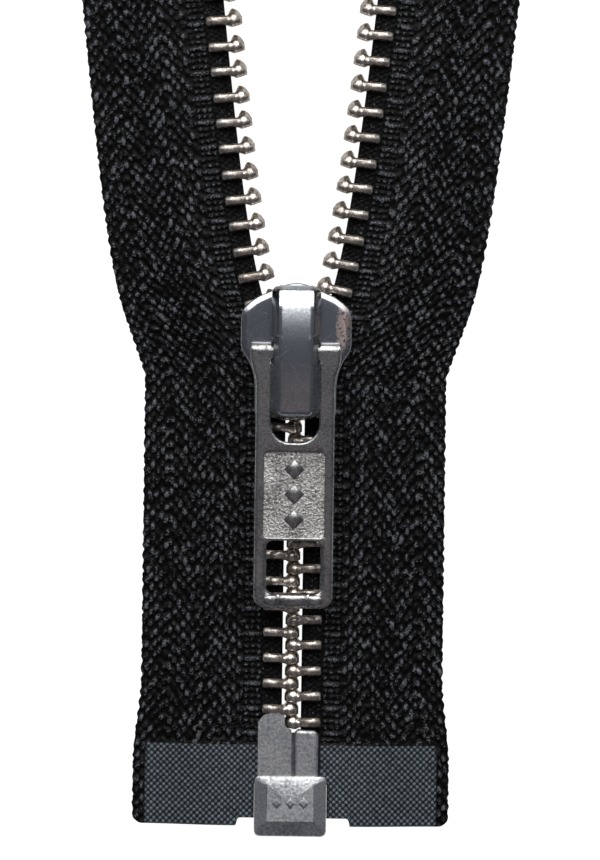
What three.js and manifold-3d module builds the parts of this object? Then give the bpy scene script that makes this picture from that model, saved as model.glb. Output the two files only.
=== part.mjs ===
// A separating metal zipper, lying flat and half open. Millimetres, +Z up.
// X runs across the chain, Y along it towards the open end, and Z up through the slider's crown.
// While it is built, Y = 0 is the lower edge of the retainer box. The finished group is centred.
import * as THREE from "three";
import { mergeVertices } from "three/addons/utils/BufferGeometryUtils.js";
import Module from "manifold-3d";

const wasm = await Module();
wasm.setup();

// ---- Driving dimensions ----

// Chain
const PITCH = 2.56; // from tooth to tooth on one side
const TEETH_PER_SIDE = 30;
const FIRST_TOOTH = 11.4; // the lowest tooth of the right row
const TOOTH_REACH = 0.75; // how far a head passes the chain's middle line
const TOOTH_FOOT = 2.95; // where the legs end, from the middle line
const TOOTH_HEIGHT = 2.5;
const TOOTH_THICK = 0.9; // along the chain
const DOME_HEIGHT = 0.24;
const DOME_RADIUS = 0.36;

// Tape
const TAPE_THICK = 0.55;
const TAPE_EDGE = 15.1; // outer edge, from the middle line
const TAPE_END_FLARE = 0.75; // how much wider the stiffened end lies
const TAPE_BOTTOM = 1.0;
const TAPE_TOP = 97; // along the row
const FLAT_STRIP = 6.2; // the tape is level out to here and droops to the table beyond it
const BEAD_INNER = 0.95;
const BEAD_OUTER = 1.6;
const BEAD_HALF = 0.33; // half the height of the corded edge
const RIB_EDGE = 3.15; // the ribbed band beside the teeth ends here
const RIB_DROP = 0.04; // and it is this much lower than the rest on each face
const CLAMP_CLEARANCE = 0.1; // between the bead or tape and the teeth crimped on it

// How the rows part: angles from the chain's direction
const MOUTH_LEAN = THREE.MathUtils.degToRad(17.25);
const OPEN_LEAN = THREE.MathUtils.degToRad(6.0);
const TAPE_LEAN = THREE.MathUtils.degToRad(6.6);
const THROAT = 46; // where the rows meet, and the pivot of each bend link
const THROAT_BLEND = 1.6;
const STRAIGHT_END = 53; // the rows are straight inside the slider up to here
const RELAX_LENGTH = 7.3;
const TAPE_BLEND = 16;
const FIRST_LOOSE_TOOTH = 13; // teeth from here up ride on the bend and side links
const THROAT_STRETCH = 0.4; // how much further up the loose teeth stand than the closed pitch gives
const SIDE_PIVOT = 54.2; // along the row, where the side link turns on the bend link

// Stiffening film on the tape ends
const FILM_THICK = 0.16;
const FILM_GAP = 0.05;
const FILM_TOP = 9.1;
const FILM_EDGE_MARGIN = 1.15; // bare selvedge left outside the film

// Retainer box and its pins
const BOX_WIDTH = 7.2;
const BOX_LENGTH = 6.05;
const BOX_THICK = 3.8;
const BOX_BEVEL = 0.9;
const BOX_FLOOR = 1.1;
const PIN_HEIGHT = 2.3;
const PIN_START = 1.4;
const PIN_CLEARANCE = 0.2;
const INSERTION_PIN = { outer: 2.87, inner: 0.38, top: 12.0 };
const RETAINING_PIN = { outer: 2.75, inner: 0.33, top: 10.65 };
const PIN_GRIP = 0.7; // how deep the tape's edge sits in a pin
const NOTCH_LEFT = 1.8;
const NOTCH_RIGHT = 2.35;
const NOTCH_TOP = 1.8;

// Slider
const BLADE = 1.0;
const ROW_CLEARANCE = 0.25; // between a blade and the teeth
const SLIDER_BOTTOM = 41.8;
const SLIDER_LENGTH = 13.3;
const SLIDER_HALF = 5.53;
const SLIDER_TAIL_HALF = 4.05;
const CHANNEL_CLEARANCE = 0.2;
const FLANGE_END = 10.0;
const TAPE_SLOT = 1.2;
const WEDGE_START = 8.9;
const WEDGE_HALF = 1.5;

// Crown over the pull's bar
const CROWN_WIDTH = 3.85;
const CROWN_LENGTH = 13.3;
const CROWN_START = 42.0;
const CROWN_HEIGHT = 3.5;
const CROWN_SHEET = 0.5;
const CROWN_BEVEL = 0.55;

// Pull tab
const PINTLE_Y = 48.45;
const PINTLE_RISE = 1.2; // above the upper blade
const PINTLE_RADIUS = 0.62;
const PINTLE_CLEARANCE = 0.6;
const PULL_LENGTH = 26.4;
const PULL_HEAD = 0.8; // beyond the pintle's axis
const PULL_THICK = 1.7;
const PULL_HEAD_WIDTH = 9.1;
const PULL_WIDTH = 7.9;
const PULL_NECK = 2.85;
const PULL_GAP = 0.1; // the lowest the free end comes above the retainer box
const LOOP_WIDTH = 5.0;
const LOOP_END = 9.15;
const PANEL_WIDTH = 6.05;
const PANEL = [9.95, 18.55];
const PANEL_DEPTH = 0.25;
const WINDOW_WIDTH = 5.35;
const WINDOW = [18.85, 24.1];

// Lock spring
const SPRING_SHEET = 0.25;
const SPRING_WIDTH = 2.2;
const SPRING_FOOT_Y = 43.7;
const PAWL_DIP = 0.6; // how far the pawl reaches in among the teeth
const PAWL_ALONG = 51.2; // along the row, between two teeth of the right row
const PAWL_THICK = 0.55;
const PAWL_X = [0.7, 1.3];
const PAWL_CLEARANCE = 0.3;

const STOP_START = 88.4; // along the row
const STOP_LENGTH = 2.8;

// ---- Levels and places that follow from them ----

const CHAIN_Z = BLADE + ROW_CLEARANCE + TOOTH_HEIGHT / 2;
const UPPER_BLADE = CHAIN_Z + TOOTH_HEIGHT / 2 + ROW_CLEARANCE;
const SLIDER_TOP = UPPER_BLADE + BLADE;
const PINTLE_Z = SLIDER_TOP + PINTLE_RISE;
const BOX_TOP = CHAIN_Z + BOX_THICK / 2;
const PULL_DROP = PINTLE_Z - PULL_THICK / 2 - BOX_TOP - PULL_GAP;
const PULL_LEAN = Math.asin(PULL_DROP / (PULL_LENGTH - PULL_HEAD));
const EDGE_Z = TAPE_THICK / 2 + FILM_GAP + FILM_THICK; // the film lies on the table there
const LEFT = -1;
const RIGHT = 1;

// ---- Materials ----

function metal(color, roughness) {
  return new THREE.MeshStandardMaterial({ color, roughness, metalness: 1 });
}

const tapeFinish = new THREE.MeshStandardMaterial({ color: 0x1d1d20, roughness: 0.9 });
const filmFinish = new THREE.MeshStandardMaterial({ color: 0x2a2c33, roughness: 0.6 });
const toothFinish = metal(0xb9b1a4, 0.32);
const polishedFinish = metal(0x8d9096, 0.18);
const satinFinish = metal(0xa2a4a8, 0.38);
const springFinish = metal(0x9a9a9a, 0.3);

// ---- Solids ----

function toSolid(geometry) {
  const bare = geometry.clone();
  bare.deleteAttribute("normal");
  bare.deleteAttribute("uv");
  const merged = mergeVertices(bare, 1e-5);
  return new wasm.Manifold(new wasm.Mesh({
    numProp: 3,
    vertProperties: new Float32Array(merged.attributes.position.array),
    triVerts: new Uint32Array(merged.index.array),
  }));
}

function toGeometry(solid) {
  const mesh = solid.getMesh();
  const geometry = new THREE.BufferGeometry();
  geometry.setAttribute("position", new THREE.BufferAttribute(mesh.vertProperties, 3));
  geometry.setIndex(new THREE.BufferAttribute(mesh.triVerts, 1));
  geometry.computeVertexNormals();
  return geometry;
}

function block(x, y, z) {
  const size = [x, y, z].map(([low, high]) => high - low);
  const centre = [x, y, z].map(([low, high]) => (low + high) / 2);
  return new THREE.BoxGeometry(...size).translate(...centre);
}

// A plan outline raised from low to high, with its rims bevelled inwards.
function slab(shape, low, high, bevel = 0) {
  return new THREE.ExtrudeGeometry(shape, {
    depth: high - low - 2 * bevel,
    curveSegments: 6,
    bevelEnabled: bevel > 0,
    bevelThickness: bevel,
    bevelSize: bevel,
    bevelOffset: -bevel,
    bevelSegments: 2,
  }).translate(0, 0, low + bevel);
}

// A profile drawn in Y and Z, extruded across X about the middle.
function across(shape, width, bevel = 0) {
  return slab(shape, -width / 2, width / 2, bevel)
    .applyMatrix4(new THREE.Matrix4().set(0, 0, 1, 0, 1, 0, 0, 0, 0, 1, 0, 0, 0, 0, 0, 1));
}

function polygon(points) {
  return new THREE.Shape(points.map(([x, y]) => new THREE.Vector2(x, y)));
}

// A rectangle with rounded corners, from its low and high corners.
function roundRect(x, y, radius) {
  const shape = new THREE.Shape();
  shape.moveTo(x[0] + radius, y[0]);
  shape.lineTo(x[1] - radius, y[0]);
  shape.absarc(x[1] - radius, y[0] + radius, radius, -Math.PI / 2, 0);
  shape.lineTo(x[1], y[1] - radius);
  shape.absarc(x[1] - radius, y[1] - radius, radius, 0, Math.PI / 2);
  shape.lineTo(x[0] + radius, y[1]);
  shape.absarc(x[0] + radius, y[1] - radius, radius, Math.PI / 2, Math.PI);
  shape.lineTo(x[0], y[0] + radius);
  shape.absarc(x[0] + radius, y[0] + radius, radius, Math.PI, 1.5 * Math.PI);
  return shape;
}

function node(name, geometry, material, parent) {
  const mesh = new THREE.Mesh(geometry, material);
  mesh.name = name;
  parent.add(mesh);
  return mesh;
}

// ---- The path of a row ----

// The row's angle from the chain: zero below the throat, steep in the slider, then relaxing.
function rowLean(along) {
  const rise = THREE.MathUtils.smoothstep(along, THROAT - THROAT_BLEND / 2, THROAT + THROAT_BLEND / 2);
  const past = Math.max(along - STRAIGHT_END, 0);
  const relaxed = OPEN_LEAN + (MOUTH_LEAN - OPEN_LEAN) * Math.exp(-past / RELAX_LENGTH);
  return rise * relaxed;
}

// The row's sideways shift and height at a length along it, summed in short steps.
function rowPoint(along) {
  const start = Math.min(along, THROAT - THROAT_BLEND / 2);
  const steps = Math.ceil((along - start) / 0.1);
  const step = steps > 0 ? (along - start) / steps : 0;
  const point = new THREE.Vector2(0, start);
  for (let i = 0; i < steps; i += 1) {
    const lean = rowLean(start + (i + 0.5) * step);
    point.x += Math.sin(lean) * step;
    point.y += Math.cos(lean) * step;
  }
  return point;
}

// A point of the tape: along the row and out from it, at the gentler angle that cloth takes.
function tapePoint(along, out) {
  const lean = TAPE_LEAN * THREE.MathUtils.smoothstep(along, THROAT - 2, THROAT - 2 + TAPE_BLEND);
  const point = rowPoint(along);
  return new THREE.Vector2(point.x + out * Math.cos(lean), point.y - out * Math.sin(lean));
}

function tapeEdge(along) {
  return TAPE_EDGE + TAPE_END_FLARE * (1 - THREE.MathUtils.smoothstep(along, 7, 16));
}

// The height of the tape's middle surface: level by the teeth, on the table at the outer edge.
function tapeHeight(out, edge) {
  return CHAIN_Z - (CHAIN_Z - EDGE_Z) * THREE.MathUtils.smoothstep(out, FLAT_STRIP, edge - 0.6);
}

// ---- Tapes and films ----

// A closed sheet from rows of { top, bottom } points, one row at each station.
function sheet(rows) {
  const columns = rows[0].length;
  const positions = [];
  const faces = [];
  for (const row of rows) {
    for (const { top, bottom } of row) positions.push(...top, ...bottom);
  }
  const at = (row, column, side) => 2 * (row * columns + column) + side;
  const quad = (a, b, c, d) => faces.push(a, b, c, a, c, d);
  const last = rows.length - 1;
  for (let r = 0; r < last; r += 1) {
    for (let c = 0; c < columns - 1; c += 1) {
      quad(at(r, c, 0), at(r, c + 1, 0), at(r + 1, c + 1, 0), at(r + 1, c, 0));
      quad(at(r, c, 1), at(r + 1, c, 1), at(r + 1, c + 1, 1), at(r, c + 1, 1));
    }
    quad(at(r, 0, 1), at(r, 0, 0), at(r + 1, 0, 0), at(r + 1, 0, 1));
    const e = columns - 1;
    quad(at(r, e, 0), at(r, e, 1), at(r + 1, e, 1), at(r + 1, e, 0));
  }
  for (let c = 0; c < columns - 1; c += 1) {
    quad(at(0, c, 0), at(0, c, 1), at(0, c + 1, 1), at(0, c + 1, 0));
    quad(at(last, c, 0), at(last, c + 1, 0), at(last, c + 1, 1), at(last, c, 1));
  }
  const geometry = new THREE.BufferGeometry();
  geometry.setAttribute("position", new THREE.Float32BufferAttribute(positions, 3));
  geometry.setIndex(faces);
  geometry.computeVertexNormals();
  return geometry;
}

// The inner edge of the lower tape: beside the box, gripped by the pin, then up to the bead.
function lowerInnerEdge(pin, along) {
  if (along <= BOX_LENGTH + 0.2) return BOX_WIDTH / 2 + 0.3;
  return along <= pin.top ? pin.outer - PIN_GRIP + CLAMP_CLEARANCE : BEAD_OUTER + 0.15;
}

// The lower edge of the tape, with its notch beside the box and its rounded outer corner.
function lowerEnd(side, out, edge) {
  const notch = side === LEFT ? NOTCH_LEFT : NOTCH_RIGHT;
  if (out < BOX_WIDTH / 2 + notch) return NOTCH_TOP;
  const corner = Math.max(out - (edge - 1), 0);
  return TAPE_BOTTOM + 1 - Math.sqrt(Math.max(1 - corner * corner, 0));
}

function mirrored(geometry, side) {
  if (side === RIGHT) return geometry;
  const solid = toSolid(geometry).mirror([1, 0, 0]);
  return toGeometry(solid);
}

// One row of a sheet: its columns run out from the inner edge across the tape.
function sheetRow(along, outs, edge, offsets) {
  return outs.map((out, column) => {
    const [x, y] = tapePoint(along(out), out).toArray();
    const z = tapeHeight(out, edge);
    const [up, down] = offsets(column);
    return { top: [x, y, z + up], bottom: [x, y, z - down] };
  });
}

const DROOP_COLUMNS = 7;

function outwards(inner, edge) {
  const outs = [...inner, FLAT_STRIP];
  for (let i = 1; i <= DROOP_COLUMNS; i += 1) {
    outs.push(FLAT_STRIP + (edge - FLAT_STRIP) * (i / DROOP_COLUMNS));
  }
  return outs;
}

function stations(from, to, step) {
  const count = Math.max(Math.round((to - from) / step), 1);
  return Array.from({ length: count + 1 }, (_, i) => from + ((to - from) * i) / count);
}

// The lower tape, from its end beside the box up to the throat.
function lowerTape(side) {
  const pin = side === LEFT ? INSERTION_PIN : RETAINING_PIN;
  const notch = side === LEFT ? NOTCH_LEFT : NOTCH_RIGHT;
  const half = TAPE_THICK / 2;
  const jumps = [BOX_LENGTH + 0.2, BOX_LENGTH + 0.3, pin.top, pin.top + 0.2];
  const rise = [...jumps, ...stations(16, THROAT - 0.2, 5)];
  const rows = [null, ...rise].map((along) => {
    const level = along ?? 0;
    const edge = tapeEdge(level);
    const start = lowerInnerEdge(pin, level);
    const outs = outwards([start, BOX_WIDTH / 2 + notch - 0.02, BOX_WIDTH / 2 + notch + 0.02], edge);
    const place = (out) => along ?? lowerEnd(side, out, edge);
    return sheetRow(place, outs, edge, () => [half, half]);
  });
  return mirrored(sheet(rows), side);
}

// A tape with its corded edge, for the links above the throat.
function linkTape(side, from, to) {
  const half = TAPE_THICK / 2;
  const ribs = half - RIB_DROP;
  const inner = [BEAD_INNER, BEAD_OUTER, BEAD_OUTER + 0.15, RIB_EDGE, RIB_EDGE + 0.15];
  const halves = [BEAD_HALF, BEAD_HALF, ribs, ribs];
  const rows = stations(from, to, 2.1).map((along) => {
    const edge = tapeEdge(along);
    const depth = (column) => halves[column] ?? half;
    const offsets = (column) => [depth(column), depth(column)];
    return sheetRow(() => along, outwards(inner, edge), edge, offsets);
  });
  return mirrored(sheet(rows), side);
}

// The stiffening film on one face of the tape's end: face is 1 above and -1 below.
function film(side, face) {
  const pin = side === LEFT ? INSERTION_PIN : RETAINING_PIN;
  const notch = side === LEFT ? NOTCH_LEFT : NOTCH_RIGHT;
  const near = TAPE_THICK / 2 + FILM_GAP;
  const far = near + FILM_THICK;
  const offsets = face > 0 ? [far, -near] : [-near, far];
  const rows = [null, BOX_LENGTH + 0.2, BOX_LENGTH + 0.3, FILM_TOP].map((along) => {
    const level = along ?? 0;
    const edge = tapeEdge(level) - FILM_EDGE_MARGIN;
    const beside = level <= BOX_LENGTH + 0.2 ? BOX_WIDTH / 2 + 0.3 : pin.outer + 0.3;
    const outs = outwards([beside, BOX_WIDTH / 2 + notch - 0.02, BOX_WIDTH / 2 + notch + 0.02], edge);
    const place = (out) => along ?? lowerEnd(side, out, tapeEdge(level)) + 0.05;
    return sheetRow(place, outs, tapeEdge(level), () => offsets);
  });
  return mirrored(sheet(rows), side);
}

// ---- Teeth ----

// Across the row: a solid head, and two legs that clamp the bead and the tape's edge.
function clampProfile(reach, foot) {
  const half = TOOTH_HEIGHT / 2;
  const beadGap = BEAD_HALF + CLAMP_CLEARANCE;
  const tapeGap = TAPE_THICK / 2 + CLAMP_CLEARANCE;
  const inside = BEAD_INNER - CLAMP_CLEARANCE;
  const wide = BEAD_OUTER + CLAMP_CLEARANCE;
  return polygon([
    [-reach, -half * 0.72], [-reach + 0.35, -half], [foot - 0.5, -half], [foot, -half * 0.55],
    [foot, -tapeGap], [wide + 0.15, -tapeGap], [wide, -beadGap], [inside, -beadGap],
    [inside, beadGap], [wide, beadGap], [wide + 0.15, tapeGap], [foot, tapeGap],
    [foot, half * 0.55], [foot - 0.5, half], [-reach + 0.35, half], [-reach, half * 0.72],
  ]);
}

// The profile given a thickness along the row and stood at the origin, with X outwards.
function clamp(reach, foot, thick) {
  return new THREE.ExtrudeGeometry(clampProfile(reach, foot), { depth: thick, bevelEnabled: false })
    .translate(0, 0, -thick / 2)
    .rotateX(Math.PI / 2);
}

// A tooth: the clamp with a dome on its head that nests in the tooth above.
function toothSolid() {
  const dome = new THREE.CylinderGeometry(DOME_RADIUS * 0.6, DOME_RADIUS, DOME_HEIGHT + 0.1, 8)
    .translate(-0.1, TOOTH_THICK / 2 + DOME_HEIGHT / 2 - 0.05, 0);
  return toSolid(clamp(TOOTH_REACH, TOOTH_FOOT, TOOTH_THICK)).add(toSolid(dome));
}

// A solid made for the right row, set on a row at a length along it.
function onRow(solid, side, along) {
  const point = rowPoint(along);
  const lean = THREE.MathUtils.radToDeg(rowLean(along));
  const placed = solid.rotate([0, 0, -lean]).translate([point.x, point.y, CHAIN_Z]);
  return side === LEFT ? placed.mirror([1, 0, 0]) : placed;
}

function toothAlong(side, index) {
  const offset = side === LEFT ? PITCH / 2 : 0;
  const stretch = index >= FIRST_LOOSE_TOOTH ? THROAT_STRETCH : 0;
  return FIRST_TOOTH + offset + index * PITCH + stretch;
}

// The closed part of one row: its teeth, joined by the bead cord that they are crimped on.
function closedRow(side, tooth) {
  const low = toothAlong(side, 0) - TOOTH_THICK / 2;
  const high = toothAlong(side, FIRST_LOOSE_TOOTH - 1) + TOOTH_THICK / 2;
  const half = BEAD_HALF + CLAMP_CLEARANCE + 0.05;
  const reach = [BEAD_INNER - CLAMP_CLEARANCE, BEAD_OUTER];
  const x = side === LEFT ? [-reach[1], -reach[0]] : reach;
  let row = toSolid(block(x, [low, high], [CHAIN_Z - half, CHAIN_Z + half]));
  for (let i = 0; i < FIRST_LOOSE_TOOTH; i += 1) {
    row = row.add(onRow(tooth, side, toothAlong(side, i)));
  }
  return toGeometry(row);
}

// ---- Retainer box and pins ----

function retainerBox() {
  const z = [CHAIN_Z - BOX_THICK / 2, CHAIN_Z + BOX_THICK / 2];
  const outline = roundRect([-BOX_WIDTH / 2, BOX_WIDTH / 2], [0, BOX_LENGTH], BOX_BEVEL + 0.1);
  const socket = block(
    [-INSERTION_PIN.outer - PIN_CLEARANCE, RETAINING_PIN.outer + PIN_CLEARANCE],
    [BOX_FLOOR, BOX_LENGTH + 1],
    [CHAIN_Z - PIN_HEIGHT / 2 - PIN_CLEARANCE, CHAIN_Z + PIN_HEIGHT / 2 + PIN_CLEARANCE],
  );
  return toGeometry(toSolid(slab(outline, ...z, BOX_BEVEL)).subtract(toSolid(socket)));
}

// A pin with the groove that its tape's edge is crimped into.
function gripped(outline, side, pin) {
  const z = [CHAIN_Z - PIN_HEIGHT / 2, CHAIN_Z + PIN_HEIGHT / 2];
  const grip = TAPE_THICK / 2 + CLAMP_CLEARANCE;
  const reach = [pin.outer - PIN_GRIP, pin.outer + 1];
  const groove = block(reach, [BOX_LENGTH, pin.top + 1], [CHAIN_Z - grip, CHAIN_Z + grip]);
  const solid = toSolid(slab(outline, ...z, 0.2)).subtract(toSolid(groove));
  return toGeometry(side === LEFT ? solid.mirror([1, 0, 0]) : solid);
}

function insertionPin() {
  const { inner, outer, top } = INSERTION_PIN;
  const headRoom = TOOTH_REACH + 0.3; // the lowest head of the other row lies in this notch
  return gripped(polygon([
    [inner, PIN_START], [outer, PIN_START], [outer, top - 0.8], [outer - 0.35, top - 0.3],
    [headRoom + 0.35, top], [headRoom, top - 0.4], [headRoom, FIRST_TOOTH - 0.75],
    [inner, FIRST_TOOTH - 0.95],
  ]), LEFT, INSERTION_PIN);
}

function retainingPin() {
  const { inner, outer, top } = RETAINING_PIN;
  return gripped(polygon([
    [inner, PIN_START], [outer, PIN_START], [outer, top - 0.5], [outer - 0.45, top],
    [inner + 0.3, top], [inner, top - 0.35],
  ]), RIGHT, RETAINING_PIN);
}

// ---- Slider ----

// The blades' outline: a narrow tail, square shoulders and a rounded nose.
function bladeOutline() {
  const half = [
    [SLIDER_TAIL_HALF - 0.5, 0], [SLIDER_TAIL_HALF, 0.5], [SLIDER_TAIL_HALF + 0.05, 4.0],
    [SLIDER_HALF - 0.9, 5.5], [SLIDER_HALF - 0.1, 6.7], [SLIDER_HALF, 7.2], [SLIDER_HALF, FLANGE_END],
    [SLIDER_HALF - 0.3, 10.7], [SLIDER_HALF - 1.1, 11.6], [SLIDER_HALF - 2.7, 12.4],
    [1.75, 12.9], [0.9, SLIDER_LENGTH - 0.1],
  ];
  const right = half.map(([x, y]) => [x, y + SLIDER_BOTTOM]);
  const left = half.toReversed().map(([x, y]) => [-x, y + SLIDER_BOTTOM]);
  return polygon([...right, [0, SLIDER_BOTTOM + SLIDER_LENGTH], ...left]);
}

// The space between a side's flange and the middle line, which guides that row.
function flangeOutline() {
  const tail = TOOTH_FOOT + CHANNEL_CLEARANCE;
  const points = [
    [tail, 0], [SLIDER_TAIL_HALF - 0.2, 0], [SLIDER_TAIL_HALF - 0.1, 4.1], [SLIDER_HALF - 0.95, 5.6],
    [SLIDER_HALF - 0.1, 7.2], [SLIDER_HALF - 0.1, FLANGE_END], [SLIDER_HALF - 0.45, FLANGE_END],
    [tail + 1.05, 7.0], [tail, 3.6],
  ];
  return polygon(points.map(([x, y]) => [x, y + SLIDER_BOTTOM]));
}

function pawlHole() {
  const { y } = rowPoint(PAWL_ALONG);
  const reach = PAWL_THICK / 2 + PAWL_CLEARANCE;
  return block(
    [PAWL_X[0] - 0.25, PAWL_X[1] + 0.25],
    [y - reach, y + reach],
    [UPPER_BLADE - 0.1, SLIDER_TOP + 0.1],
  );
}

function sliderBody() {
  const outline = bladeOutline();
  let body = toSolid(slab(outline, 0, BLADE, 0.2));
  body = body.add(toSolid(slab(outline, UPPER_BLADE, SLIDER_TOP, 0.2)));
  const rims = [
    [BLADE - 0.5, CHAIN_Z - TAPE_SLOT / 2],
    [CHAIN_Z + TAPE_SLOT / 2, UPPER_BLADE + 0.5],
  ];
  for (const [low, high] of rims) {
    const flange = toSolid(slab(flangeOutline(), low, high));
    body = body.add(flange).add(flange.mirror([1, 0, 0]));
  }
  const y = (v) => SLIDER_BOTTOM + v;
  const wedge = polygon([
    [0.25, y(WEDGE_START)], [WEDGE_HALF, y(12.5)], [0, y(13.0)], [-WEDGE_HALF, y(12.5)],
    [-0.25, y(WEDGE_START)],
  ]);
  body = body.add(toSolid(slab(wedge, BLADE - 0.5, UPPER_BLADE + 0.5)));
  return toGeometry(body.subtract(toSolid(pawlHole())));
}

// The crown seen from the side, shrunk by an inset for its hollow.
function crownProfile(inset) {
  const start = CROWN_START + inset;
  const end = CROWN_START + CROWN_LENGTH - inset;
  const top = SLIDER_TOP + CROWN_HEIGHT - inset;
  const shape = new THREE.Shape();
  shape.moveTo(start, SLIDER_TOP - 1);
  shape.lineTo(end, SLIDER_TOP - 1);
  shape.lineTo(end, SLIDER_TOP + 1.2);
  shape.quadraticCurveTo(end - 0.2, top - 0.3, end - 2.4, top - 0.1);
  shape.quadraticCurveTo((start + end) / 2, top + 0.1, start + 1.9, top - 0.1);
  shape.quadraticCurveTo(start + 0.1, top - 0.4, start, SLIDER_TOP + 1.6);
  return shape;
}

function sliderCover() {
  const half = CROWN_WIDTH / 2;
  const hollow = toSolid(across(crownProfile(CROWN_SHEET), CROWN_WIDTH - 2 * CROWN_SHEET));
  const reach = PINTLE_RADIUS + PINTLE_CLEARANCE;
  const span = [PINTLE_Y - reach, PINTLE_Y + reach];
  const notch = toSolid(block([-half - 1, half + 1], span, [SLIDER_TOP - 1, PINTLE_Z + reach]));
  const away = toSolid(block([-half - 1, half + 1], [0, TAPE_TOP], [-5, SLIDER_TOP]));
  const shell = toSolid(across(crownProfile(0), CROWN_WIDTH, CROWN_BEVEL));
  return toGeometry(shell.subtract(hollow).subtract(notch).subtract(away));
}

// The leaf spring: a foot behind, an arch over the pull's bar and a pawl in front.
function lockSpring() {
  const pawlY = rowPoint(PAWL_ALONG).y;
  const foot = SPRING_FOOT_Y;
  const low = SLIDER_TOP + 0.1;
  const under = PINTLE_Z + PINTLE_RADIUS + 0.1;
  const over = under + SPRING_SHEET;
  const front = pawlY + PAWL_THICK / 2;
  const leaf = polygon([
    [foot - 0.4, low], [foot + 0.3, low], [foot + 1.9, under], [front, under],
    [front, over], [foot + 1.7, over], [foot, low + 0.45], [foot - 0.4, low + 0.3],
  ]);
  const tip = CHAIN_Z + TOOTH_HEIGHT / 2 - PAWL_DIP;
  const pawl = block(PAWL_X, [front - PAWL_THICK, front], [tip, over - 0.05]);
  return toGeometry(toSolid(across(leaf, SPRING_WIDTH)).add(toSolid(pawl)));
}

// ---- Pull tab, drawn about its pintle with its free end towards -Y ----

function pullOutline() {
  const half = PULL_WIDTH / 2;
  const head = PULL_HEAD_WIDTH / 2;
  const end = PULL_HEAD - PULL_LENGTH;
  const shape = new THREE.Shape();
  shape.moveTo(-half + 1.2, end);
  shape.lineTo(half - 1.2, end);
  shape.absarc(half - 1.2, end + 1.2, 1.2, -Math.PI / 2, 0);
  shape.lineTo(half, -PULL_NECK);
  shape.bezierCurveTo(half, -PULL_NECK + 1, head, -1.6, head, -0.4);
  shape.quadraticCurveTo(head, PULL_HEAD, head - 1.1, PULL_HEAD);
  shape.lineTo(-head + 1.1, PULL_HEAD);
  shape.quadraticCurveTo(-head, PULL_HEAD, -head, -0.4);
  shape.bezierCurveTo(-head, -1.6, -half, -PULL_NECK + 1, -half, -PULL_NECK);
  shape.lineTo(-half, end + 1.2);
  shape.absarc(-half + 1.2, end + 1.2, 1.2, Math.PI, 1.5 * Math.PI);
  return shape;
}

function pullTab() {
  const half = PULL_THICK / 2;
  const through = [-PULL_THICK, PULL_THICK];
  const loop = roundRect([-LOOP_WIDTH / 2, LOOP_WIDTH / 2], [-LOOP_END, PULL_HEAD + 2.5], 1.9);
  const window = roundRect([-WINDOW_WIDTH / 2, WINDOW_WIDTH / 2], [-WINDOW[1], -WINDOW[0]], 0.6);
  const panel = roundRect([-PANEL_WIDTH / 2, PANEL_WIDTH / 2], [-PANEL[1], -PANEL[0]], 0.9);
  const bar = new THREE.CylinderGeometry(PINTLE_RADIUS, PINTLE_RADIUS, LOOP_WIDTH + 1, 16)
    .rotateZ(Math.PI / 2);
  return toGeometry(
    toSolid(slab(pullOutline(), -half, half, 0.35))
      .subtract(toSolid(slab(loop, ...through)))
      .subtract(toSolid(slab(window, ...through)))
      .subtract(toSolid(slab(panel, half - PANEL_DEPTH, half + 1)))
      .add(toSolid(bar)),
  );
}

// ---- The whole zipper ----

function addTapes(zipper, side, word) {
  node(`${word}_tape_lower`, lowerTape(side), tapeFinish, zipper);
  node(`${word}_tape_throat`, linkTape(side, THROAT, SIDE_PIVOT - 0.1), tapeFinish, zipper);
  node(`${word}_tape_upper`, linkTape(side, SIDE_PIVOT + 0.1, TAPE_TOP), tapeFinish, zipper);
  node(`${word}_film_front`, film(side, 1), filmFinish, zipper);
  node(`${word}_film_back`, film(side, -1), filmFinish, zipper);
}

function addTeeth(zipper, side, word) {
  const tooth = toothSolid();
  node(`${word}_closed_teeth`, closedRow(side, tooth), toothFinish, zipper);
  for (let i = FIRST_LOOSE_TOOTH; i < TEETH_PER_SIDE; i += 1) {
    const name = `${word}_tooth_${String(i + 1).padStart(2, "0")}`;
    node(name, toGeometry(onRow(tooth, side, toothAlong(side, i))), toothFinish, zipper);
  }
  const stop = toSolid(clamp(TOOTH_REACH - 0.45, TOOTH_FOOT, STOP_LENGTH));
  const stopGeometry = toGeometry(onRow(stop, side, STOP_START + STOP_LENGTH / 2));
  node(`${word}_top_stop`, stopGeometry, satinFinish, zipper);
}

function addSlider(zipper) {
  node("slider_body", sliderBody(), polishedFinish, zipper);
  node("slider_cover", sliderCover(), polishedFinish, zipper);
  node("lock_spring", lockSpring(), springFinish, zipper);
  const pull = node("pull_tab", pullTab(), satinFinish, zipper);
  pull.position.set(0, PINTLE_Y, PINTLE_Z);
  pull.rotation.x = PULL_LEAN;
}

function addBox(zipper) {
  node("retainer_box", retainerBox(), satinFinish, zipper);
  node("insertion_pin", insertionPin(), satinFinish, zipper);
  node("retaining_pin", retainingPin(), satinFinish, zipper);
}

const zipper = new THREE.Group();
addTapes(zipper, LEFT, "left");
addTapes(zipper, RIGHT, "right");
addTeeth(zipper, LEFT, "left");
addTeeth(zipper, RIGHT, "right");
addSlider(zipper);
addBox(zipper);
const bounds = new THREE.Box3().setFromObject(zipper, true);
zipper.position.y = -(bounds.min.y + bounds.max.y) / 2;

export default zipper;
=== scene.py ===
"""A separating metal zipper, lying flat and half open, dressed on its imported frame.

Shapes are worked out in millimetres and turned to metres when a mesh is made. X runs across the chain
from its middle line, Y along it from the retainer box's lower edge, and Z up from the table. On a tape,
"along" is the length along its row of teeth and "out" the distance out from the row.
"""
import logging
import math
from dataclasses import dataclass, field
from enum import Enum

import bmesh
import bpy
import numpy as np
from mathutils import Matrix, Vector
from mathutils.geometry import tessellate_polygon


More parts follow.
